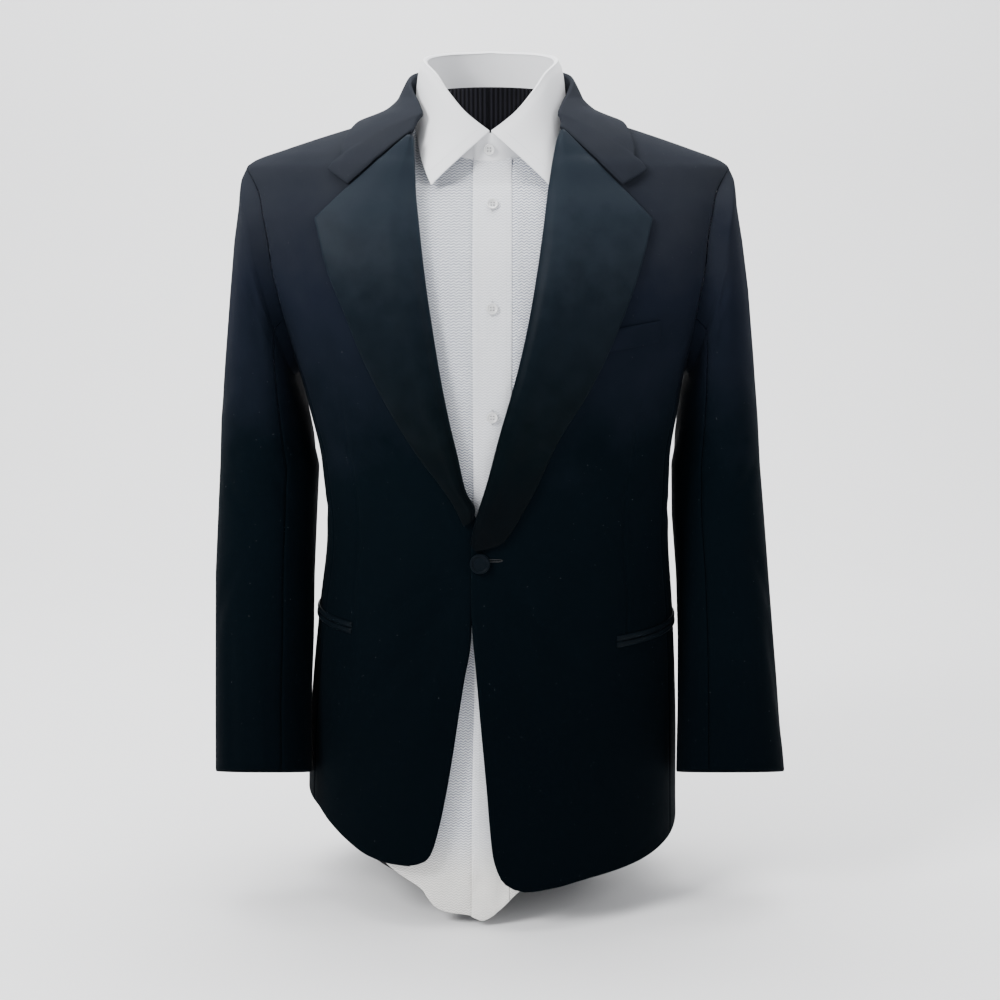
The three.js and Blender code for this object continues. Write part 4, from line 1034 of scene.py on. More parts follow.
def sleeve_part(name, table, side, start, end, count):
    gap = SLEEVE_GAP * DEGREE
    shares = np.concatenate([[0, 0.006, 0.02], spread(0.04, 0.96, count), [0.98, 0.994, 1]])
    turns = mix(start * DEGREE + gap, end * DEGREE - gap, shares)
    head = armhole_ring(turns, side, HEAD_TUCK["inset"], HEAD_TUCK["out"])
    head_inner = armhole_ring(turns, side, HEAD_TUCK["inset"] + WOOL, HEAD_TUCK["out"])
    relief = sleeve_relief(turns, SLEEVE_POSITIONS, side)
    fade = smooth(0, 0.8, SLEEVE_POSITIONS)[:, None]
    swell = np.exp(-(((SLEEVE_POSITIONS - 0.35) / 0.5) ** 2))[:, None]
    puff = 1.6 * swell * np.maximum(np.cos(turns), 0)[None, :]
    grow = relief * fade + puff
    flat = sleeve_rings(table, SLEEVE_POSITIONS, turns, 0.0)
    drop = edge_drop(flat, "lrt")
    outer = sleeve_rings(table, SLEEVE_POSITIONS, turns, -(grow + drop))
    inner = sleeve_rings(table, SLEEVE_POSITIONS, turns, WOOL - grow)
    lead = spread(0, 1, SLEEVE_HEAD_STEPS)[:-1]
    outer = np.concatenate([bridge(head, outer[0], outer[1], lead), outer])
    inner = np.concatenate([bridge(head_inner, inner[0], inner[1], lead), inner])
    return wall(name, outer, inner, WOOL_CLOTH)


def bridge(head, first, second, shares):
    """Rows from the armhole ring to the sleeve's first ring, meeting it smoothly."""
    lead = first - (second - first)
    t = shares[:, None, None]
    return (1 - t) ** 2 * head + 2 * t * (1 - t) * lead + t ** 2 * first


for word, side, table in (("left", 1, LEFT_SLEEVE), ("right", -1, RIGHT_SLEEVE)):
    front, back = SLEEVE_SEAMS["front"], SLEEVE_SEAMS["back"]
    top = sleeve_part(f"jacket_sleeve_top_{word}_cloth", table, side, back - 360, front, 62)
    under = sleeve_part(f"jacket_sleeve_under_{word}_cloth", table, side, front, back, 34)
    cloth(top, [f"jacket_sleeve_top_{word}"])
    cloth(under, [f"jacket_sleeve_under_{word}"])


# Lapels and collar

CLEAR = 0.3
LAPEL_BELLY = 2.2
LAPEL_ROLL = 2.6
FULL_WIDTH = 60
LAPEL_TIP = 7
RIGHT_TIP = 8
GORGE_SHARE = 0.72
GORGE_BELLY = 1.6
COLLAR_BELLY = 3.5

# How the satin wraps the front's edge at the roll line: steps aside, outer level and inner level
ROLL_WRAP = [(1.0, -1.7, 0.35, -1.6), (1.5, 0.1, 0.4, -0.3), (1.0, 1.7, 0.3, 0.7)]


def edge_rise(share):
    return mix(0.9, 2.6, smooth(0, 0.3, share))


def lapel_lines(table, tip):
    """Roll points and edge points up a lapel: its edge is curved below the notch, straight above."""
    count = len(table["rollX"])
    index = {"row": np.arange(count, dtype=float)}
    steps = np.concatenate([spread(0, tip, 74), spread(tip, count - 1, 26)[1:]])
    lines = {}
    for name, values in table.items():
        whole = through({**index, name: values}, "row", name)
        if name.startswith("roll"):
            lines[name] = whole(steps)
        else:
            lower = through({"row": index["row"][: tip + 1], name: values[: tip + 1]}, "row", name)
            straight = np.interp(steps, index["row"], values)
            lines[name] = np.where(steps <= tip, lower(steps), straight)
    return steps, lines


def lapel_piece(name, table, side, tip):
    steps, lines = lapel_lines(table, tip)
    shares = np.concatenate([[0, 0.02, 0.045], spread(0.07, 0.965, 30), [0.985, 0.995, 1]])
    x = mix(lines["rollX"][:, None], lines["edgeX"][:, None], shares)
    z = mix(lines["rollZ"][:, None], lines["edgeZ"][:, None], shares)
    width = np.hypot(lines["edgeX"] - lines["rollX"], lines["edgeZ"] - lines["rollZ"])[:, None]
    fullness = np.minimum(width / FULL_WIDTH, 1)
    lowest = np.clip(steps, 0, 1)[:, None]
    ends = mix(0.5, 1, lowest)
    rise = edge_rise(shares) + LAPEL_BELLY * fullness * np.sin(math.pi * shares)
    rolled = LAPEL_ROLL * fullness * smooth(0, 0.1, shares) * (1 - smooth(0.12, 0.5, shares))
    rolled = rolled * smooth(0, 2, steps)[:, None] * (1 - smooth(tip - 1, tip + 2, steps))[:, None]
    ripple = sum(trough(x, z, line) for line in LAPEL_FOLDS[side])
    stand = lap(x, z) if side > 0 else np.zeros(x.shape)
    level = stand + rise * ends + rolled + CLEAR + ripple
    angle = angle_at_x(x, z)
    drop = edge_drop(skin(angle, z), "rt", SATIN, 2.0)
    outer = jacket_point(angle, z, level + SATIN + drop)
    inner = jacket_point(angle, z, level)
    outer_wrap, inner_wrap = [], []
    for aside, high, aside_inner, low in ROLL_WRAP:
        base = stand[:, :1]
        outer_x = x[:, :1] - side * aside * ends
        inner_x = x[:, :1] - side * aside_inner * ends
        outer_wrap.append(jacket_point(angle_at_x(outer_x, z[:, :1]), z[:, :1], base + high + 0.9 * ends))
        inner_wrap.append(jacket_point(angle_at_x(inner_x, z[:, :1]), z[:, :1], base + low + 0.6 * ends))
    outer = np.concatenate(outer_wrap + [outer], axis=1)
    inner = np.concatenate(inner_wrap + [inner], axis=1)
    return wall(name, outer, inner, SATIN_CLOTH)


LAPEL_FOLDS = {
    1: [(20, 470, 76, 500, 0.7, 9), (60, 700, 130, 690, 0.6, 14), (50, 600, 120, 560, -0.6, 15)],
    -1: [(-40, 470, -84, 500, 0.7, 9), (-80, 700, -150, 684, 0.6, 14), (-62, 610, -120, 560, -0.6, 15)],
}

collar_curve = {name: through(COLLAR, "angle", name) for name in COLLAR if name != "angle"}


def collar_place(degrees, side, share):
    """Angle, height and level of the collar's leaf, from its fold down to its outer edge."""
    edge_z = collar_curve["edgeZ"](degrees)
    further = RIGHT_COLLAR_REACH * (1 - smooth(COLLAR_START, 110, degrees)) if side < 0 else 0
    reach = collar_curve["edgeX"](degrees) + further
    edge = ring_angle(side * reach, collar_curve["edgeY"](degrees), edge_z)
    edge = np.where(degrees >= 180, side * math.pi, edge)
    angle = mix(side * degrees * DEGREE, edge, share)
    z = mix(collar_curve["foldZ"](degrees), edge_z, share)
    out = mix(collar_curve["foldOut"](degrees), collar_curve["edgeOut"](degrees), share)
    return angle, z, out + COLLAR_BELLY * np.sin(math.pi * share)


def gorge_place(gorge, share):
    """The collar's end, along the gorge seam and then the notch."""
    stops = (0, GORGE_SHARE, 1)
    corners = (gorge["inner"], gorge["notch"], gorge["tip"])
    x = np.interp(share, stops, [corner[0] for corner in corners])
    z = np.interp(share, stops, [corner[1] for corner in corners])
    rise = edge_rise(share) + GORGE_BELLY * np.sin(math.pi * share)
    return angle_at_x(x, z), z, rise + CLEAR


# How the leaf wraps over the stand at its fold: rise and level of the outer and inner faces
FOLD_WRAP = [(-0.6, -3.2, -1.0, -2.9), (1.1, -2.2, 0.0, -1.6), (1.5, -0.4, 0.1, -0.6), (1.0, 1.1, -0.1, -0.1)]


def jacket_collar_piece():
    shares = np.concatenate([[0, 0.03], spread(0.06, 0.96, 22), [0.98, 0.993, 1]])
    blends = np.concatenate([[0, 0.03, 0.1], spread(0.2, 1, 9)[:-1]])
    half = np.concatenate([spread(COLLAR_START, 80, 24), spread(80, 180, 44)[1:]])
    columns = []
    for side, gorge in ((1, LEFT_GORGE), (-1, RIGHT_GORGE)):
        own = []
        first = collar_place(np.array(COLLAR_START, float), side, shares)
        end = gorge_place(gorge, shares)
        for blend in blends:
            own.append([mix(a, b, blend) for a, b in zip(end, first)])
        for degrees in half:
            own.append(collar_place(np.array(degrees), side, shares))
        columns.append(own)
    left, right = columns
    right = [[angle + TURN, z, out] for angle, z, out in right]
    order = left + right[::-1][1:]
    angle = np.array([column[0] for column in order])
    z = np.array([column[1] for column in order])
    out = np.array([column[2] for column in order])
    drop = edge_drop(skin(angle, z), "rbt", WOOL, 2.2)
    outer = raised(skin, angle, z, out + WOOL + drop)
    inner = raised(skin, angle, z, out)
    outer_wrap, inner_wrap = [], []
    for up, level, up_inner, level_inner in FOLD_WRAP:
        outer_wrap.append(raised(skin, angle[:, :1], z[:, :1] + up, out[:, :1] + level))
        inner_wrap.append(raised(skin, angle[:, :1], z[:, :1] + up_inner, out[:, :1] + level_inner))
    outer = np.concatenate(outer_wrap + [outer], axis=1)
    inner = np.concatenate(inner_wrap + [inner], axis=1)
    return wall("jacket_collar_cloth", outer, inner, WOOL_CLOTH)


def collar_stand_piece():
    degrees = spread(80, 280, 90)
    folded = np.where(degrees > 180, 360 - degrees, degrees)[:, None]
    shares = spread(0, 1, 8)[None, :]
    z = mix(824.5, collar_curve["foldZ"](folded) - 1.2, shares)
    out = mix(0, collar_curve["foldOut"](folded) - 1.1, shares)
    angle = np.broadcast_to(degrees[:, None] * DEGREE, z.shape)
    return wall("jacket_collar_stand_cloth", raised(skin, angle, z, out), raised(skin, angle, z, out - WOOL),
                WOOL_CLOTH)


cloth(lapel_piece("lapel_left_satin", LEFT_LAPEL, 1, LAPEL_TIP), ["lapel_left"])
cloth(lapel_piece("lapel_right_satin", RIGHT_LAPEL, -1, RIGHT_TIP), ["lapel_right"])
cloth(jacket_collar_piece(), ["jacket_collar"])
cloth(collar_stand_piece(), ["jacket_collar_stand"])


# Small parts on a surface

def normal_at(surface, angle, level):
    here = np.array([angle]), np.array([level])
    return unit(surface(*here, np.array([10.0])) - surface(*here, np.array([0.0])))[0]


def tube(paths, normals, radii, sides=8, flat=1.0):
    """Vertices and faces of round tubes along paths, each (count, 3); flat squeezes them."""
    positions, faces = [], []
    start = 0
    for path, normal, radius in zip(paths, normals, radii):
        tangent = unit(np.gradient(path, axis=0))
        across = unit(np.cross(tangent, normal))
        upward = np.cross(across, tangent)
        turns = np.arange(sides) / sides * TURN
        section = (np.cos(turns)[None, :, None] * across[:, None]
                   + flat * np.sin(turns)[None, :, None] * upward[:, None])
        rings = path[:, None] + section * radius[:, None, None]
        positions.append(rings.reshape(-1, 3))
        faces += grid_faces(len(path), sides, start, True, False).tolist()
        faces.append(list(range(start, start + sides)))
        last = start + (len(path) - 1) * sides
        faces.append(list(range(last + sides - 1, last - 1, -1)))
        start += len(path) * sides
    return np.concatenate(positions), faces


def plain_mesh(name, positions, faces, material, sharp=60):
    mesh = bpy.data.meshes.new(name)
    mesh.from_pydata((positions * MILLIMETRE).tolist(), [], faces)
    mesh.update()
    mesh.polygons.foreach_set("use_smooth", np.ones(len(mesh.polygons), bool))
    mesh.set_sharp_from_angle(angle=math.radians(sharp))
    mesh.materials.append(material)
    thing = bpy.data.objects.new(name, mesh)
    bpy.context.scene.collection.objects.link(thing)
    return thing


def resampled(path, step):
    """Points a step apart along a path."""
    reach = np.concatenate([[0], np.cumsum(np.linalg.norm(np.diff(path, axis=0), axis=1))])
    count = max(int(reach[-1] / step), 1)
    marks = np.linspace(0, reach[-1], count + 1)
    return np.stack([np.interp(marks, reach, path[:, axis]) for axis in range(3)], axis=1)


def stitches(name, path, normals, length, gap, radius, material):
    """A line of separate stitches along a path, each sunk at both ends."""
    fine = resampled(path, 0.25)
    fine_normals = unit(resampled_like(path, normals, fine))
    each = int(length / 0.25)
    pitch = int((length + gap) / 0.25)
    starts = range(0, len(fine) - each, pitch)
    picked = [np.linspace(s, s + each - 1, 5).astype(int) for s in starts]
    sink = np.array([-0.9, 0.1, 0.35, 0.1, -0.9]) * radius
    paths = [fine[p] + fine_normals[p] * sink[:, None] for p in picked]
    radii = [radius * np.array([0.5, 0.95, 1.0, 0.95, 0.5])] * len(paths)
    positions, faces = tube(paths, [fine_normals[p] for p in picked], radii, 6)
    return piece(plain_mesh(name, positions, faces, material))


def resampled_like(path, values, fine):
    reach = np.concatenate([[0], np.cumsum(np.linalg.norm(np.diff(path, axis=0), axis=1))])
    marks = np.linspace(0, reach[-1], len(fine))
    return np.stack([np.interp(marks, reach, values[:, axis]) for axis in range(3)], axis=1)


def on_surface(surface, angle, level, out):
    """A path lying on a surface, and the surface's normals along it."""
    path = surface(angle, level, out + np.zeros(len(angle)))
    above = surface(angle, level, out + 1.0 + np.zeros(len(angle)))
    return path, unit(above - path)


def buttonhole(name, surface, centre, length, width, out, material, upright):
    """A worked buttonhole: a cord of close stitches round a narrow slit."""
    turns = spread(0, TURN, 96)
    long_axis = length / 2 * np.sign(np.cos(turns)) * np.abs(np.cos(turns)) ** 0.7
    short_axis = width / 2 * np.sign(np.sin(turns)) * np.abs(np.sin(turns)) ** 0.5
    across, up = (short_axis, long_axis) if upright else (long_axis, short_axis)
    x = centre[0] + across
    z = centre[1] + up
    path, normals = on_surface(surface, angle_at_x(x, z), z, out)
    ribs = 0.36 + 0.12 * np.cos(np.arange(len(turns)) * math.pi)
    positions, faces = tube([path], [normals], [ribs], 6)
    return piece(plain_mesh(name, positions, faces, material))


# Pockets

TRIM_CLEAR = 0.8
WELT = {"x0": 62, "z0": 594, "x1": 165, "z1": 610, "height": 21, "thick": 1.2}
BESOM = {"height": 5.6, "thick": 1.4, "rise": 5, "pitch": 6.2}
HIP_POCKETS = {"left": (1, 38, 92, 290), "right": (-1, 49, 100, 300)}


def welt_piece():
    across = edged(42, 104)
    up = edged(10, WELT["height"])
    share, high = np.meshgrid(across, up)
    x = mix(WELT["x0"], WELT["x1"], share)
    z = mix(WELT["z0"], WELT["z1"], share) - WELT["height"] * (1 - high)
    angle = angle_at_x(x, z)
    base = skin(angle, z)
    plump = 0.35 * np.sin(math.pi * high)
    outer = jacket_point(angle, z, TRIM_CLEAR + WELT["thick"] + plump + edge_drop(base, "lrbt", 1.2, 2.0))
    inner = jacket_point(angle, z, TRIM_CLEAR + np.zeros(z.shape))
    return wall("breast_welt_cloth", outer, inner, WOOL_CLOTH)


def besom_piece(name, side, start, end, bottom):
    across = edged(60, 100)
    up = spread(0, 1, 10)
    share, high = np.meshgrid(across, up)
    z = bottom + BESOM["rise"] * share + BESOM["height"] * high
    angle = side * mix(start, end, share) * DEGREE
    round_top = BESOM["thick"] * np.sqrt(np.maximum(np.sin(math.pi * high), 0.04))
    outer = jacket_point(angle, z, TRIM_CLEAR + round_top + edge_drop(skin(angle, z), "lr", 1.4, 2.0))
    inner = jacket_point(angle, z, TRIM_CLEAR - 0.5 + np.zeros(z.shape))
    return wall(name, outer, inner, TRIM_SATIN)


cloth(welt_piece(), ["breast_welt"])
for word, (side, start, end, z) in HIP_POCKETS.items():
    for level, bottom in (("upper", z), ("lower", z - BESOM["pitch"])):
        thing = besom_piece(f"pocket_besom_{level}_{word}_satin", side, start, end, bottom)
        cloth(thing, [f"pocket_besom_{level}_{word}"])


# Buttons

def turned(profile, centre, normal, sides):
    """A form turned from a profile of radius and height, standing on a point along a normal."""
    upright = np.array(normal)
    right = unit(np.cross((0.0, 0.0, 1.0), upright))
    above = np.cross(upright, right)
    turns = np.arange(sides) / sides * TURN
    around = np.cos(turns)[:, None] * right + np.sin(turns)[:, None] * above
    rings = [centre + around * radius + upright * height for radius, height in profile]
    positions = np.concatenate(rings)
    faces = grid_faces(len(profile), sides, 0, True, False).tolist()
    faces.append(list(range(sides))[::-1])
    last = (len(profile) - 1) * sides
    faces.append(list(range(last, last + sides)))
    return positions, faces, right, above


def rounded_rim(radius, thick, inner, floor, steps=7):
    """Profile of a button: a flat back, a round rim, and a dished face inside it."""
    profile = [(radius * 0.5, 0), (radius * 0.9, 0)]
    for i in range(steps + 1):
        turn = -0.5 * math.pi + math.pi * i / steps
        middle = thick / 2
        profile.append((radius - middle * 0.6 + middle * 0.6 * math.cos(turn), middle + middle * math.sin(turn)))
    profile += [(inner + 0.5, thick * 0.97), (inner, mix(thick, floor, 0.45)), (inner - 0.4, floor + 0.1)]
    profile += [(inner - 0.9, floor), (inner * 0.3, floor)]
    return profile


HOLE_OFFSET = 1.3
HOLE_RADIUS = 0.72


def shirt_button_piece(number, centre, normal):
    radius, thick = SHIRT_BUTTON["radius"], SHIRT_BUTTON["thick"]
    floor = thick * 0.62
    profile = rounded_rim(radius, thick, radius - 1.5, floor)
    positions, faces, right, above = turned(profile, centre, normal, 40)
    thing = plain_mesh(f"shirt_button_{number}_pearl", positions, faces, PEARL, 35)
    piece(thing, [f"shirt_button_{number}"])
    lift = centre + normal * floor
    hole_shades, threads = [], []
    for i in (-1, 1):
        for j in (-1, 1):
            middle = lift + right * HOLE_OFFSET * i + above * HOLE_OFFSET * j
            hole_shades.append(np.array([middle - normal * 0.3, middle, middle + normal * 0.06]))
        ends = lift + right * HOLE_OFFSET * i
        reach = spread(-HOLE_OFFSET, HOLE_OFFSET, 8)
        arch = 0.32 * np.sqrt(np.maximum(1 - (reach / HOLE_OFFSET) ** 2, 0))
        threads.append(ends + above * reach[:, None] + normal * arch[:, None])
    # Short dark plugs fill the four holes in the black thread finish: painted shade inside the holes.
    radii = [np.full(3, HOLE_RADIUS)] * len(hole_shades)
    hole_shade_tubes, hole_shade_faces = tube(hole_shades, [np.tile(right, (3, 1))] * len(hole_shades), radii, 12)
    piece(plain_mesh(f"shirt_button_{number}_holes", hole_shade_tubes, hole_shade_faces, BLACK_THREAD_AND_HOLE_SHADE, 40))
    radii = [np.full(9, 0.24)] * len(threads)
    cords, cord_faces = tube(threads, [np.tile(normal, (9, 1))] * len(threads), radii, 8)
    piece(plain_mesh(f"shirt_button_{number}_thread", cords, cord_faces, WHITE_THREAD))


def jacket_button_piece():
    """Covered in satin: a soft rim turned over, and a shallow dish inside it."""
    angle = float(angle_at_x(JACKET_BUTTON["x"], JACKET_BUTTON["z"]))
    z = float(JACKET_BUTTON["z"])
    out = float(lap(JACKET_BUTTON["x"], JACKET_BUTTON["z"])) + TRIM_CLEAR
    centre = jacket_point(np.array([angle]), np.array([z]), np.array([out]))[0]
    normal = normal_at(jacket_point, angle, z)
    radius, thick = JACKET_BUTTON["radius"], JACKET_BUTTON["thick"]
    profile = rounded_rim(radius, thick, radius - 2.4, thick * 0.66, 12)
    profile[-1] = (radius * 0.35, thick * 0.72)
    profile.append((radius * 0.02, thick * 0.76))
    positions, faces, _, _ = turned(profile, centre, normal, 64)
    piece(plain_mesh("front_button_satin", positions, faces, TRIM_SATIN, 60), ["front_button"])


jacket_button_piece()
buttonhole("front_buttonhole", jacket_point, (0, 377), 23, 2.2, float(lap(0, 377)) + 0.25, BLACK_THREAD_AND_HOLE_SHADE,
           False)


# Shirt

SHIRT_STRAIGHT = 230
YOKE_LEVEL = 722
PLACKET_STAND = SHIRTING + 1.5
SHIRT_TOP = ARMHOLE["top"] - SHIRT_ARMHOLE_INSET
SHIRT_BOTTOM = ARMHOLE["bottom"] + SHIRT_ARMHOLE_INSET
SHIRT_LOW_ROWS = np.concatenate([[0, 0.006, 0.02], spread(0.05, 1, 40)])
SHIRT_SEAM_TURN = 0.0012


def placket_stand(level):
    return PLACKET_STAND - 0.8 * smooth(CHEST_TOP - 5, CHEST_TOP + 10, level)


def stand_reach(level):
    """The angle at which the left front lies back on the form; it is nearer at the neck."""
    return mix(0.5, 0.32, smooth(CHEST_TOP, LEVEL_TOP - 5, level))


def shirt_outer_angle(level, is_front):
    gap = SHIRT_SEAM_TURN if is_front else -SHIRT_SEAM_TURN
    inside = np.clip(level, SHIRT_BOTTOM, SHIRT_TOP)
    rim_y = armhole_y(inside, is_front, SHIRT_ARMHOLE_INSET)
    hole = angle_at_y(rim_y, np.minimum(inside, CHEST_TOP), 1) - gap
    straight = math.pi / 2 - gap
    return np.where((level <= SHIRT_BOTTOM) | (level >= SHIRT_TOP), straight, hole)


def shirt_angle(x):
    """The angle at which the shirt's front passes a given x at each level, found by halving."""
    def angle_of(level):
        low = np.full(np.shape(level), -1.0)
        high = np.full(np.shape(level), 1.0)
        for _ in range(24):
            middle = (low + high) / 2
            less = under_body(middle, level)[..., 0] < x
            low = np.where(less, middle, low)
            high = np.where(less, high, middle)
        return low
    return angle_of


def shirt_piece(name, inner_angle, outer, count, levels, stand, material, hem=True, sides="lrb"):
    shares = np.concatenate([[0, 0.006, 0.02], spread(0.05, 0.95, count), [0.98, 0.994, 1]])
    low = len(SHIRT_LOW_ROWS) if hem else 0
    z = np.concatenate([np.full(low, float(SHIRT_STRAIGHT)), levels])
    angle = mix(inner_angle(z)[:, None], outer(z)[:, None], shares[None, :])
    level = np.repeat(z[:, None], len(shares), axis=1)
    if hem:
        bottom = shirt_hem_at(half_turn(angle[:low] / DEGREE))
        level[:low] = mix(bottom, SHIRT_STRAIGHT, SHIRT_LOW_ROWS[:, None])
    drop = edge_drop(under_body(angle, level), sides, SHIRTING, 1.6)
    outer_face = shirt_point(angle, level, stand(angle, level) + drop)
    inner_face = shirt_point(angle, level, stand(angle, level) - SHIRTING)
    return wall(name, outer_face, inner_face, material)


def flat_stand(angle, level):
    return np.zeros(np.broadcast(angle, level).shape)


SHIRT_LEVELS = np.concatenate([spread(SHIRT_STRAIGHT, 740, 90)[1:], spread(743, LEVEL_TOP - 0.1, 20)])
BACK_LEVELS = np.concatenate([spread(SHIRT_STRAIGHT, YOKE_LEVEL - 2, 60)[1:], [YOKE_LEVEL - 0.5, YOKE_LEVEL]])
YOKE_LEVELS = np.concatenate([[YOKE_LEVEL + 0.3, YOKE_LEVEL + 1], spread(YOKE_LEVEL + 3, LEVEL_TOP - 0.6, 24)])

cloth(
    shirt_piece("shirt_front_left_cloth", shirt_angle(PLACKET["right"] + 0.3),
                lambda level: shirt_outer_angle(level, True), 40, SHIRT_LEVELS,
                lambda angle, level: placket_stand(level) * (1 - smooth(0.12, stand_reach(level), angle)),
                DOBBY),
    ["shirt_front_left"],
)
cloth(
    shirt_piece("shirt_front_right_cloth", shirt_angle(PLACKET["right"] - 6),
                lambda level: -shirt_outer_angle(level, True), 48, SHIRT_LEVELS, flat_stand, DOBBY),
    ["shirt_front_right"],
)
cloth(
    shirt_piece("shirt_placket_cloth", shirt_angle(PLACKET["left"]), shirt_angle(PLACKET["right"]),
                12, SHIRT_LEVELS, lambda angle, level: placket_stand(level) + 0.25, PLACKET_DOBBY),
    ["shirt_placket"],
)
for name, levels, hem, flat in (("shirt_back", BACK_LEVELS, True, (0.56, 0.72)),
                                ("shirt_yoke", YOKE_LEVELS, False, (0.56, 0.14))):
    cloth(
        shirt_piece(f"{name}_cloth", lambda level: shirt_outer_angle(level, False),
                    lambda level: TURN - shirt_outer_angle(level, False), 70, levels, flat_stand, DOBBY,
                    hem),
        [name],
    )


def neck_point(degrees, z, out):
    """A point of the neck wall, by angle in degrees and height above the sloping seam."""
    angle = np.asarray(degrees) * DEGREE
    depth = np.where(np.cos(angle) > 0, NECK["front"], NECK["back"])
    return point((NECK["half"] + out) * np.sin(angle), -(depth + out) * np.cos(angle), z)


STAND_OUT = 0.2
STAND_LAP = 2.0
LEAF_OUT = 3.2
SHIRT_COLLAR_BELLY = 2.5
FOLD_UNDER = 1.2
shirt_collar_curve = {name: through(SHIRT_COLLAR, "angle", name) for name in SHIRT_COLLAR if name != "angle"}


def shirt_stand_piece():
    """The collar's band starts under the button at the front and ends on top of its own start."""
    degrees = np.concatenate([spread(-14, 24, 24), spread(24, 336, 110)[1:], spread(336, 366, 18)[1:]])
    folded = np.abs(np.where(degrees > 180, 360 - degrees, degrees))[:, None]
    shares = edged(12, 30, (0.4, 1.2))[None, :]
    seam = neck_seam(degrees * DEGREE)[:, 2][:, None] - 0.9
    z = mix(seam, shirt_collar_curve["foldZ"](folded) - FOLD_UNDER, shares)
    out = STAND_OUT + STAND_LAP * (1 - smooth(2, 24, degrees[:, None]))
    drop = edge_drop(neck_point(degrees[:, None], z, out), "lrbt", SHIRTING, 1.4)
    outer = neck_point(degrees[:, None], z, out + SHIRTING + drop)
    inner = neck_point(degrees[:, None], z, out + np.zeros(z.shape))
    return wall("shirt_collar_stand_cloth", outer, inner, COTTON)


# How the leaf turns over the stand at its fold: rise and level of the outer and inner faces
SHIRT_FOLD_WRAP = [(-0.8, -4.4, -1.0, -3.7), (0.6, -3.6, -0.2, -3.0), (1.3, -2.0, 0.2, -1.9),
                   (1.2, -0.4, 0.2, -0.8)]


def leaf_point(degrees, side, share, out):
    """A point of the collar's leaf, from its fold down to its edge."""
    fold = neck_point(degrees, shirt_collar_curve["foldZ"](degrees), STAND_OUT + LEAF_OUT)
    edge = point(*(shirt_collar_curve[name](degrees) for name in ("edgeX", "edgeY", "edgeZ")))
    places = mix(fold, edge, share[..., None])
    away = places * np.array([1.0, 1.0, 0.0])
    roll = 1.2 * smooth(0, 0.12, share) * (1 - smooth(0.15, 0.6, share))
    belly = SHIRT_COLLAR_BELLY * np.sin(math.pi * share) + roll
    places = places + unit(away) * (belly + out)[..., None]
    places[..., 0] *= side
    return places


def shirt_leaf_piece():
    shares = np.concatenate([[0, 0.02], spread(0.05, 0.965, 24), [0.982, 0.994, 1]])[None, :]
    half = np.concatenate([[0.8, 1.0, 1.4], spread(2, 60, 50), spread(60, 180, 50)[1:]])[:, None]
    degrees = np.concatenate([half, half[::-1][1:]])
    side = np.concatenate([np.ones(len(half)), -np.ones(len(half) - 1)])[:, None]
    grid = np.broadcast_to(shares, (len(degrees), shares.shape[1]))
    drop = edge_drop(leaf_point(degrees, side, grid, np.zeros(grid.shape)), "rbt", SHIRTING, 1.5)
    outer = leaf_point(degrees, side, grid, SHIRTING + drop)
    inner = leaf_point(degrees, side, grid, np.zeros(grid.shape))
    outer_wrap, inner_wrap = [], []
    fold_z = shirt_collar_curve["foldZ"](degrees)
    for up, level, up_inner, level_inner in SHIRT_FOLD_WRAP:
        for faces, rise, out in ((outer_wrap, up, level + SHIRTING), (inner_wrap, up_inner, level_inner)):
            place = neck_point(degrees, fold_z + rise, STAND_OUT + LEAF_OUT + out)
            place[..., 0] *= side
            faces.append(place)
    outer = np.concatenate(outer_wrap + [outer], axis=1)
    inner = np.concatenate(inner_wrap + [inner], axis=1)
    return wall("shirt_collar_leaf_cloth", outer, inner, COTTON)


cloth(shirt_stand_piece(), ["shirt_collar_stand"])
cloth(shirt_leaf_piece(), ["shirt_collar_leaf"])


# Shirt sleeves and cuffs, inside the jacket's sleeves

def shirt_sleeve_piece(name, table, side, position, shrink, from_armhole, sides):
    turns = spread(0, TURN, 72)[:-1]
    outer = sleeve_rings(table, position, turns, shrink)
    inner = sleeve_rings(table, position, turns, shrink + SHIRTING)
    if from_armhole:
        outer = np.concatenate([shirt_arm_ring(turns, side, 0.0)[None], outer])
        inner = np.concatenate([shirt_arm_ring(turns, side, SHIRTING)[None], inner])
    return wall(name, outer, inner, COTTON if sides else DOBBY, True)


def shirt_arm_ring(turns, side, more):
    inset = SHIRT_ARMHOLE_INSET + more - SHIRTING - 0.4
    middle = (ARMHOLE["top"] + ARMHOLE["bottom"]) / 2
    half = (ARMHOLE["top"] - ARMHOLE["bottom"]) / 2 - inset
    z = middle + half * np.cos(turns)
    reach = np.where(np.sin(turns) > 0, ARMHOLE["front"] - inset, ARMHOLE["back"] - inset)
    angle = angle_at_y(-reach * np.sin(turns), np.minimum(z, CHEST_TOP), side)
    return raised(under_body, angle, z, shirt_inset(z) + 1.2)


for word, side, table in (("left", 1, LEFT_SLEEVE), ("right", -1, RIGHT_SLEEVE)):
    along = spread(0.3, SHIRT_CUFF["top"], 70)
    sleeve = shirt_sleeve_piece(f"shirt_sleeve_{word}_cloth", table, side, along, 10, True, "")
    cuff = shirt_sleeve_piece(f"shirt_cuff_{word}_cloth", table, side,
                              spread(SHIRT_CUFF["top"] - 0.1, SHIRT_CUFF["end"], 16), 8.4, False, "cuff")
    cloth(sleeve, [f"shirt_sleeve_{word}"])
    cloth(cuff, [f"shirt_cuff_{word}"])


# Shirt buttons, buttonholes and sewing

BUTTON_LINE = (PLACKET["left"] + PLACKET["right"]) / 2
TOP_BUTTON = {"z": 724, "lower": 4, "lean": 4}
BUTTON_CLEAR = 0.6
COLLAR_BUTTON_Z = 774
PLACKET_STITCH = 5.5


def placket_point(angle, level, out):
    return shirt_point(angle, level, placket_stand(level) + 0.25 + out)


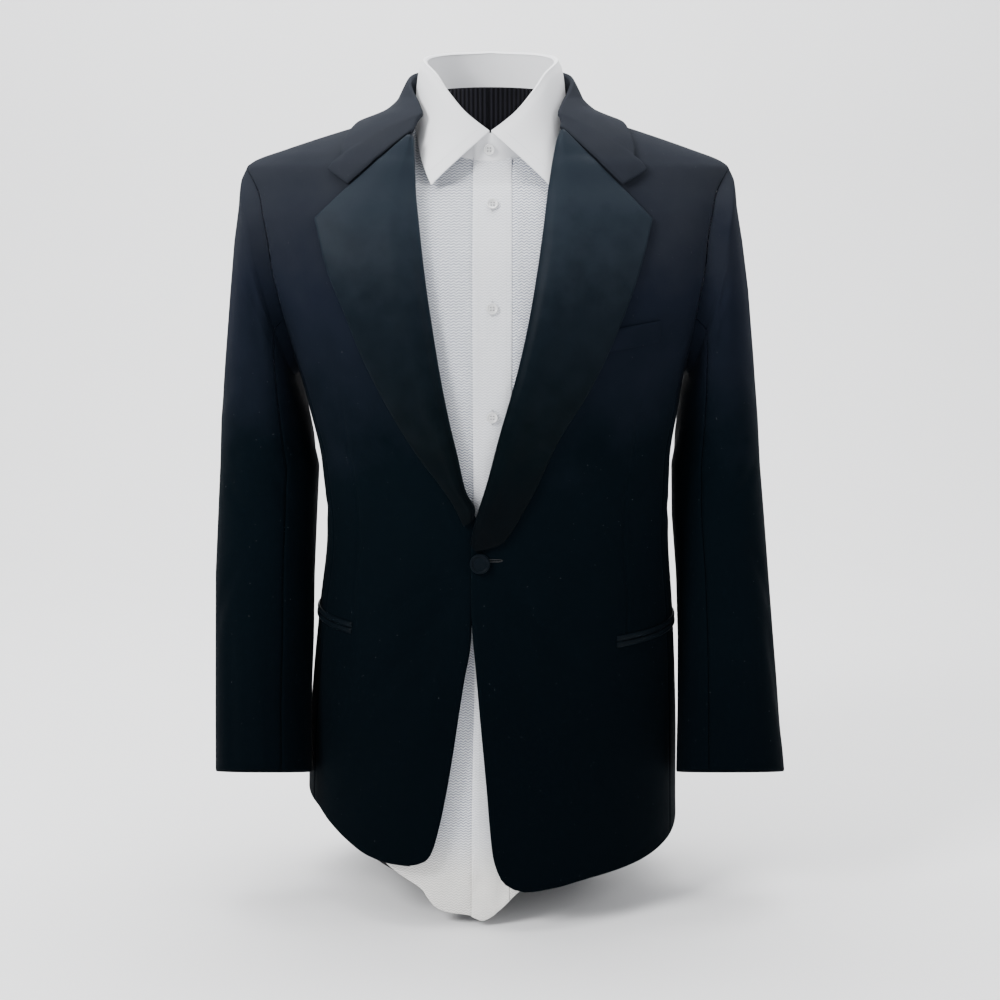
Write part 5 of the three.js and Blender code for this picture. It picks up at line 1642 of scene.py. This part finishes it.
for i in range(6):
    z = float(TOP_BUTTON["z"] - SHIRT_BUTTON_PITCH * i + (TOP_BUTTON["lower"] if i else 0))
    x = BUTTON_LINE - (TOP_BUTTON["lean"] if i > 2 else 0)
    angle = float(angle_at_x(x, z))
    centre = placket_point(np.array([angle]), np.array([z]), np.array([BUTTON_CLEAR - 0.25]))[0]
    shirt_button_piece(i + 2, centre, normal_at(placket_point, angle, z))
    buttonhole(f"shirt_buttonhole_{i + 2}", placket_point, (x, z), 15, 1.8, 0.12, WHITE_THREAD,
               True)

collar_button = neck_point(-1.0, COLLAR_BUTTON_Z, STAND_OUT + SHIRTING + STAND_LAP + 0.5)
shirt_button_piece(1, collar_button, np.array([0.0, -1.0, 0.0]))


def placket_stitching():
    level = spread(60, 738, 300)
    for name, x in (("left", PLACKET["left"] + PLACKET_STITCH), ("right", PLACKET["right"] - PLACKET_STITCH)):
        path, normals = on_surface(placket_point, shirt_angle(x)(level), level, 0.05)
        stitches(f"placket_stitching_{name}", path, normals, 2.0, 0.9, 0.2, WHITE_THREAD)


def leaf_stitching():
    """A row of stitches inside the collar's edge: down the front edge and along the outer one."""
    for name, side in (("left", 1), ("right", -1)):
        front = np.stack([np.full(60, 7.0), spread(0.08, 0.93, 59)], axis=1)
        round_edge = np.stack([spread(7.0, 180, 399), np.full(400, 0.93)], axis=1)
        along = np.concatenate([front, round_edge[1:]])
        degrees, share = along[:, 0], along[:, 1]
        path = leaf_point(degrees, side, share, SHIRTING + 0.05)
        above = leaf_point(degrees, side, share, SHIRTING + 1.05)
        stitches(f"collar_stitching_{name}", path, unit(above - path), 1.9, 0.9, 0.19, WHITE_THREAD)


placket_stitching()
leaf_stitching()


# Torso form

BASE_TOP = 100
BASE_SQUARE = 2.3
NECK_TOP = 835
FORM_LEVELS = np.concatenate([
    [0, 2, 6, 12], spread(24, 92, 6), spread(100, 740, 64), spread(745, LEVEL_TOP, 14),
])
form_base = {name: through(BASE, "z", name) for name in ("half", "front", "back")}


def form_ring(turns, level):
    if level >= BASE_TOP:
        return raised(under_body, turns, np.full(len(turns), level), form_inset(level) + np.zeros(len(turns)))
    body = raised(skin, turns, np.full(len(turns), float(BASE_TOP)), form_inset(BASE_TOP) + np.zeros(len(turns)))
    t = smooth(0, BASE_TOP, level)
    depth = np.where(np.cos(turns) > 0, form_base["front"](level), form_base["back"](level))
    bend = 2 / BASE_SQUARE
    low = point(form_base["half"](level) * power(np.sin(turns), bend), -depth * power(np.cos(turns), bend), level)
    high = point(body[:, 0], body[:, 1], level)
    return mix(low, high, t * t)


def neck_top_ring(turns, inset, lift):
    """The neck's top edge, which follows the sloping seam at the back, pulled in and lifted."""
    ring_points = neck_point(turns / DEGREE, NECK_TOP - 1.5, -1.4)
    ring_points[:, 2] = np.maximum(ring_points[:, 2], neck_seam(turns)[:, 2] + 3)
    middle = ring_points.mean(axis=0)
    share = 1 - inset / NECK["half"]
    places = mix(middle, ring_points, share)
    places[:, 2] += lift
    return places


def torso_piece():
    turns = spread(0, TURN, 120)[:-1]
    rings = [form_ring(turns, float(level)) for level in FORM_LEVELS]
    edge = [(0, -1.6), (0.35, -0.6), (1.1, 0.0), (2.2, 0.3)]
    rings += [neck_top_ring(turns, inset, lift) for inset, lift in edge]
    rings += [neck_top_ring(turns, inset, 0.4) for inset in (6, 14, 26, 40, 54, 62)]
    grid = np.array(rings)
    height, width = grid.shape[:2]
    positions = grid.reshape(-1, 3)
    faces = grid_faces(height, width, 0, True, False).tolist()
    faces.append(list(range(width))[::-1])
    faces.append(list(range((height - 1) * width, height * width)))
    up = lengths(grid, 0)
    circumference = np.broadcast_to(np.arange(width)[None, :] * (TURN * NECK["half"] / width), up.shape)
    uv = np.stack([circumference, up], axis=-1).reshape(-1, 2) * MILLIMETRE
    mesh = bpy.data.meshes.new("torso_form_knit")
    mesh.from_pydata((positions * MILLIMETRE).tolist(), [], faces)
    mesh.update()
    layer = mesh.uv_layers.new(name="cloth")
    corners = np.empty(len(mesh.loops), int)
    mesh.loops.foreach_get("vertex_index", corners)
    layer.data.foreach_set("uv", uv[corners].astype(np.float32).ravel())
    mesh.polygons.foreach_set("use_smooth", np.ones(len(mesh.polygons), bool))
    mesh.set_sharp_from_angle(angle=math.radians(60))
    mesh.materials.append(KNIT)
    thing = bpy.data.objects.new("torso_form_knit", mesh)
    bpy.context.scene.collection.objects.link(thing)
    return thing


piece(torso_piece(), ["torso_form"])


# Floor, light and camera

SWEEP = {"front": -4000, "bend": 1400, "radius": 900, "top": 4200, "half": 5000}


def make_stage():
    """A pale studio sweep: a floor that curves up into a wall behind."""
    turns = spread(0, math.pi / 2, 24)
    y = [SWEEP["front"], *(SWEEP["bend"] + SWEEP["radius"] * np.sin(turns)), SWEEP["bend"] + SWEEP["radius"]]
    z = [0, *(SWEEP["radius"] * (1 - np.cos(turns))), SWEEP["top"]]
    line = np.stack([y, z], axis=1)
    grid = np.array([[(x, *place) for place in line] for x in (-SWEEP["half"], SWEEP["half"])])
    positions = grid.reshape(-1, 3)
    faces = grid_faces(2, len(line), 0, False, True).tolist()
    n = Nodes("pale_floor", Roughness=0.7, Specular_IOR_Level=0.2)
    body, _, _, _ = n.place("Object")
    n.colour(n.blend(n.noise(body, 0.004, 2.0), (0.92, 0.92, 0.925), (0.89, 0.89, 0.895)))
    plain_mesh("studio_floor", positions, faces, n.material)


def area_light(name, place, target, size, power_watts, colour=(1, 1, 1)):
    light = bpy.data.lights.new(name, "AREA")
    light.shape = "RECTANGLE"
    light.size, light.size_y = size
    light.energy = power_watts
    light.color = colour
    thing = bpy.data.objects.new(name, light)
    bpy.context.scene.collection.objects.link(thing)
    thing.location = place
    aim = np.array(target, float) - np.array(place, float)
    look(thing, aim)


def look(thing, aim):
    """Turns a light or camera so that it looks along a direction, with its top up."""
    back = -aim / np.linalg.norm(aim)
    right = unit(np.cross((0.0, 0.0, 1.0), back))
    up = np.cross(back, right)
    matrix = np.eye(4)
    matrix[:3, 0], matrix[:3, 1], matrix[:3, 2] = right, up, back
    matrix[:3, 3] = thing.location
    thing.matrix_world = Matrix(matrix.tolist())


def make_lights():
    world = bpy.data.worlds.new("studio")
    bpy.context.scene.world = world
    world.use_nodes = True
    background = world.node_tree.nodes["Background"]
    background.inputs["Color"].default_value = (0.93, 0.95, 1.0, 1)
    background.inputs["Strength"].default_value = 0.5
    area_light("key", (-1.9, -1.5, 2.1), (0, 0, 0.55), (0.9, 1.2), 100)
    area_light("fill", (1.7, -1.6, 1.5), (0, 0, 0.5), (1.4, 1.8), 22)
    area_light("top", (0, 0.1, 2.6), (0, 0, 0.6), (1.6, 1.2), 40)
    area_light("backdrop", (0, 0.6, 3.2), (0, 2.2, 0.9), (4.0, 1.0), 130)


# The camera stands level with the chest and looks a little down
CAMERA = {"x": 9.4, "y": -1600, "z": 684, "tilt": 9.5, "focal": 1534, "sensor": 36}
IMAGE_WIDTH = 1000


def make_camera():
    camera = bpy.data.cameras.new("camera")
    camera.sensor_width = CAMERA["sensor"]
    camera.lens = CAMERA["focal"] / IMAGE_WIDTH * CAMERA["sensor"]
    thing = bpy.data.objects.new("camera", camera)
    bpy.context.scene.collection.objects.link(thing)
    thing.location = [CAMERA[axis] * MILLIMETRE for axis in "xyz"]
    tilt = CAMERA["tilt"] * DEGREE
    look(thing, np.array([0, math.cos(tilt), -math.sin(tilt)]))
    bpy.context.scene.camera = thing


make_stage()
make_lights()
make_camera()
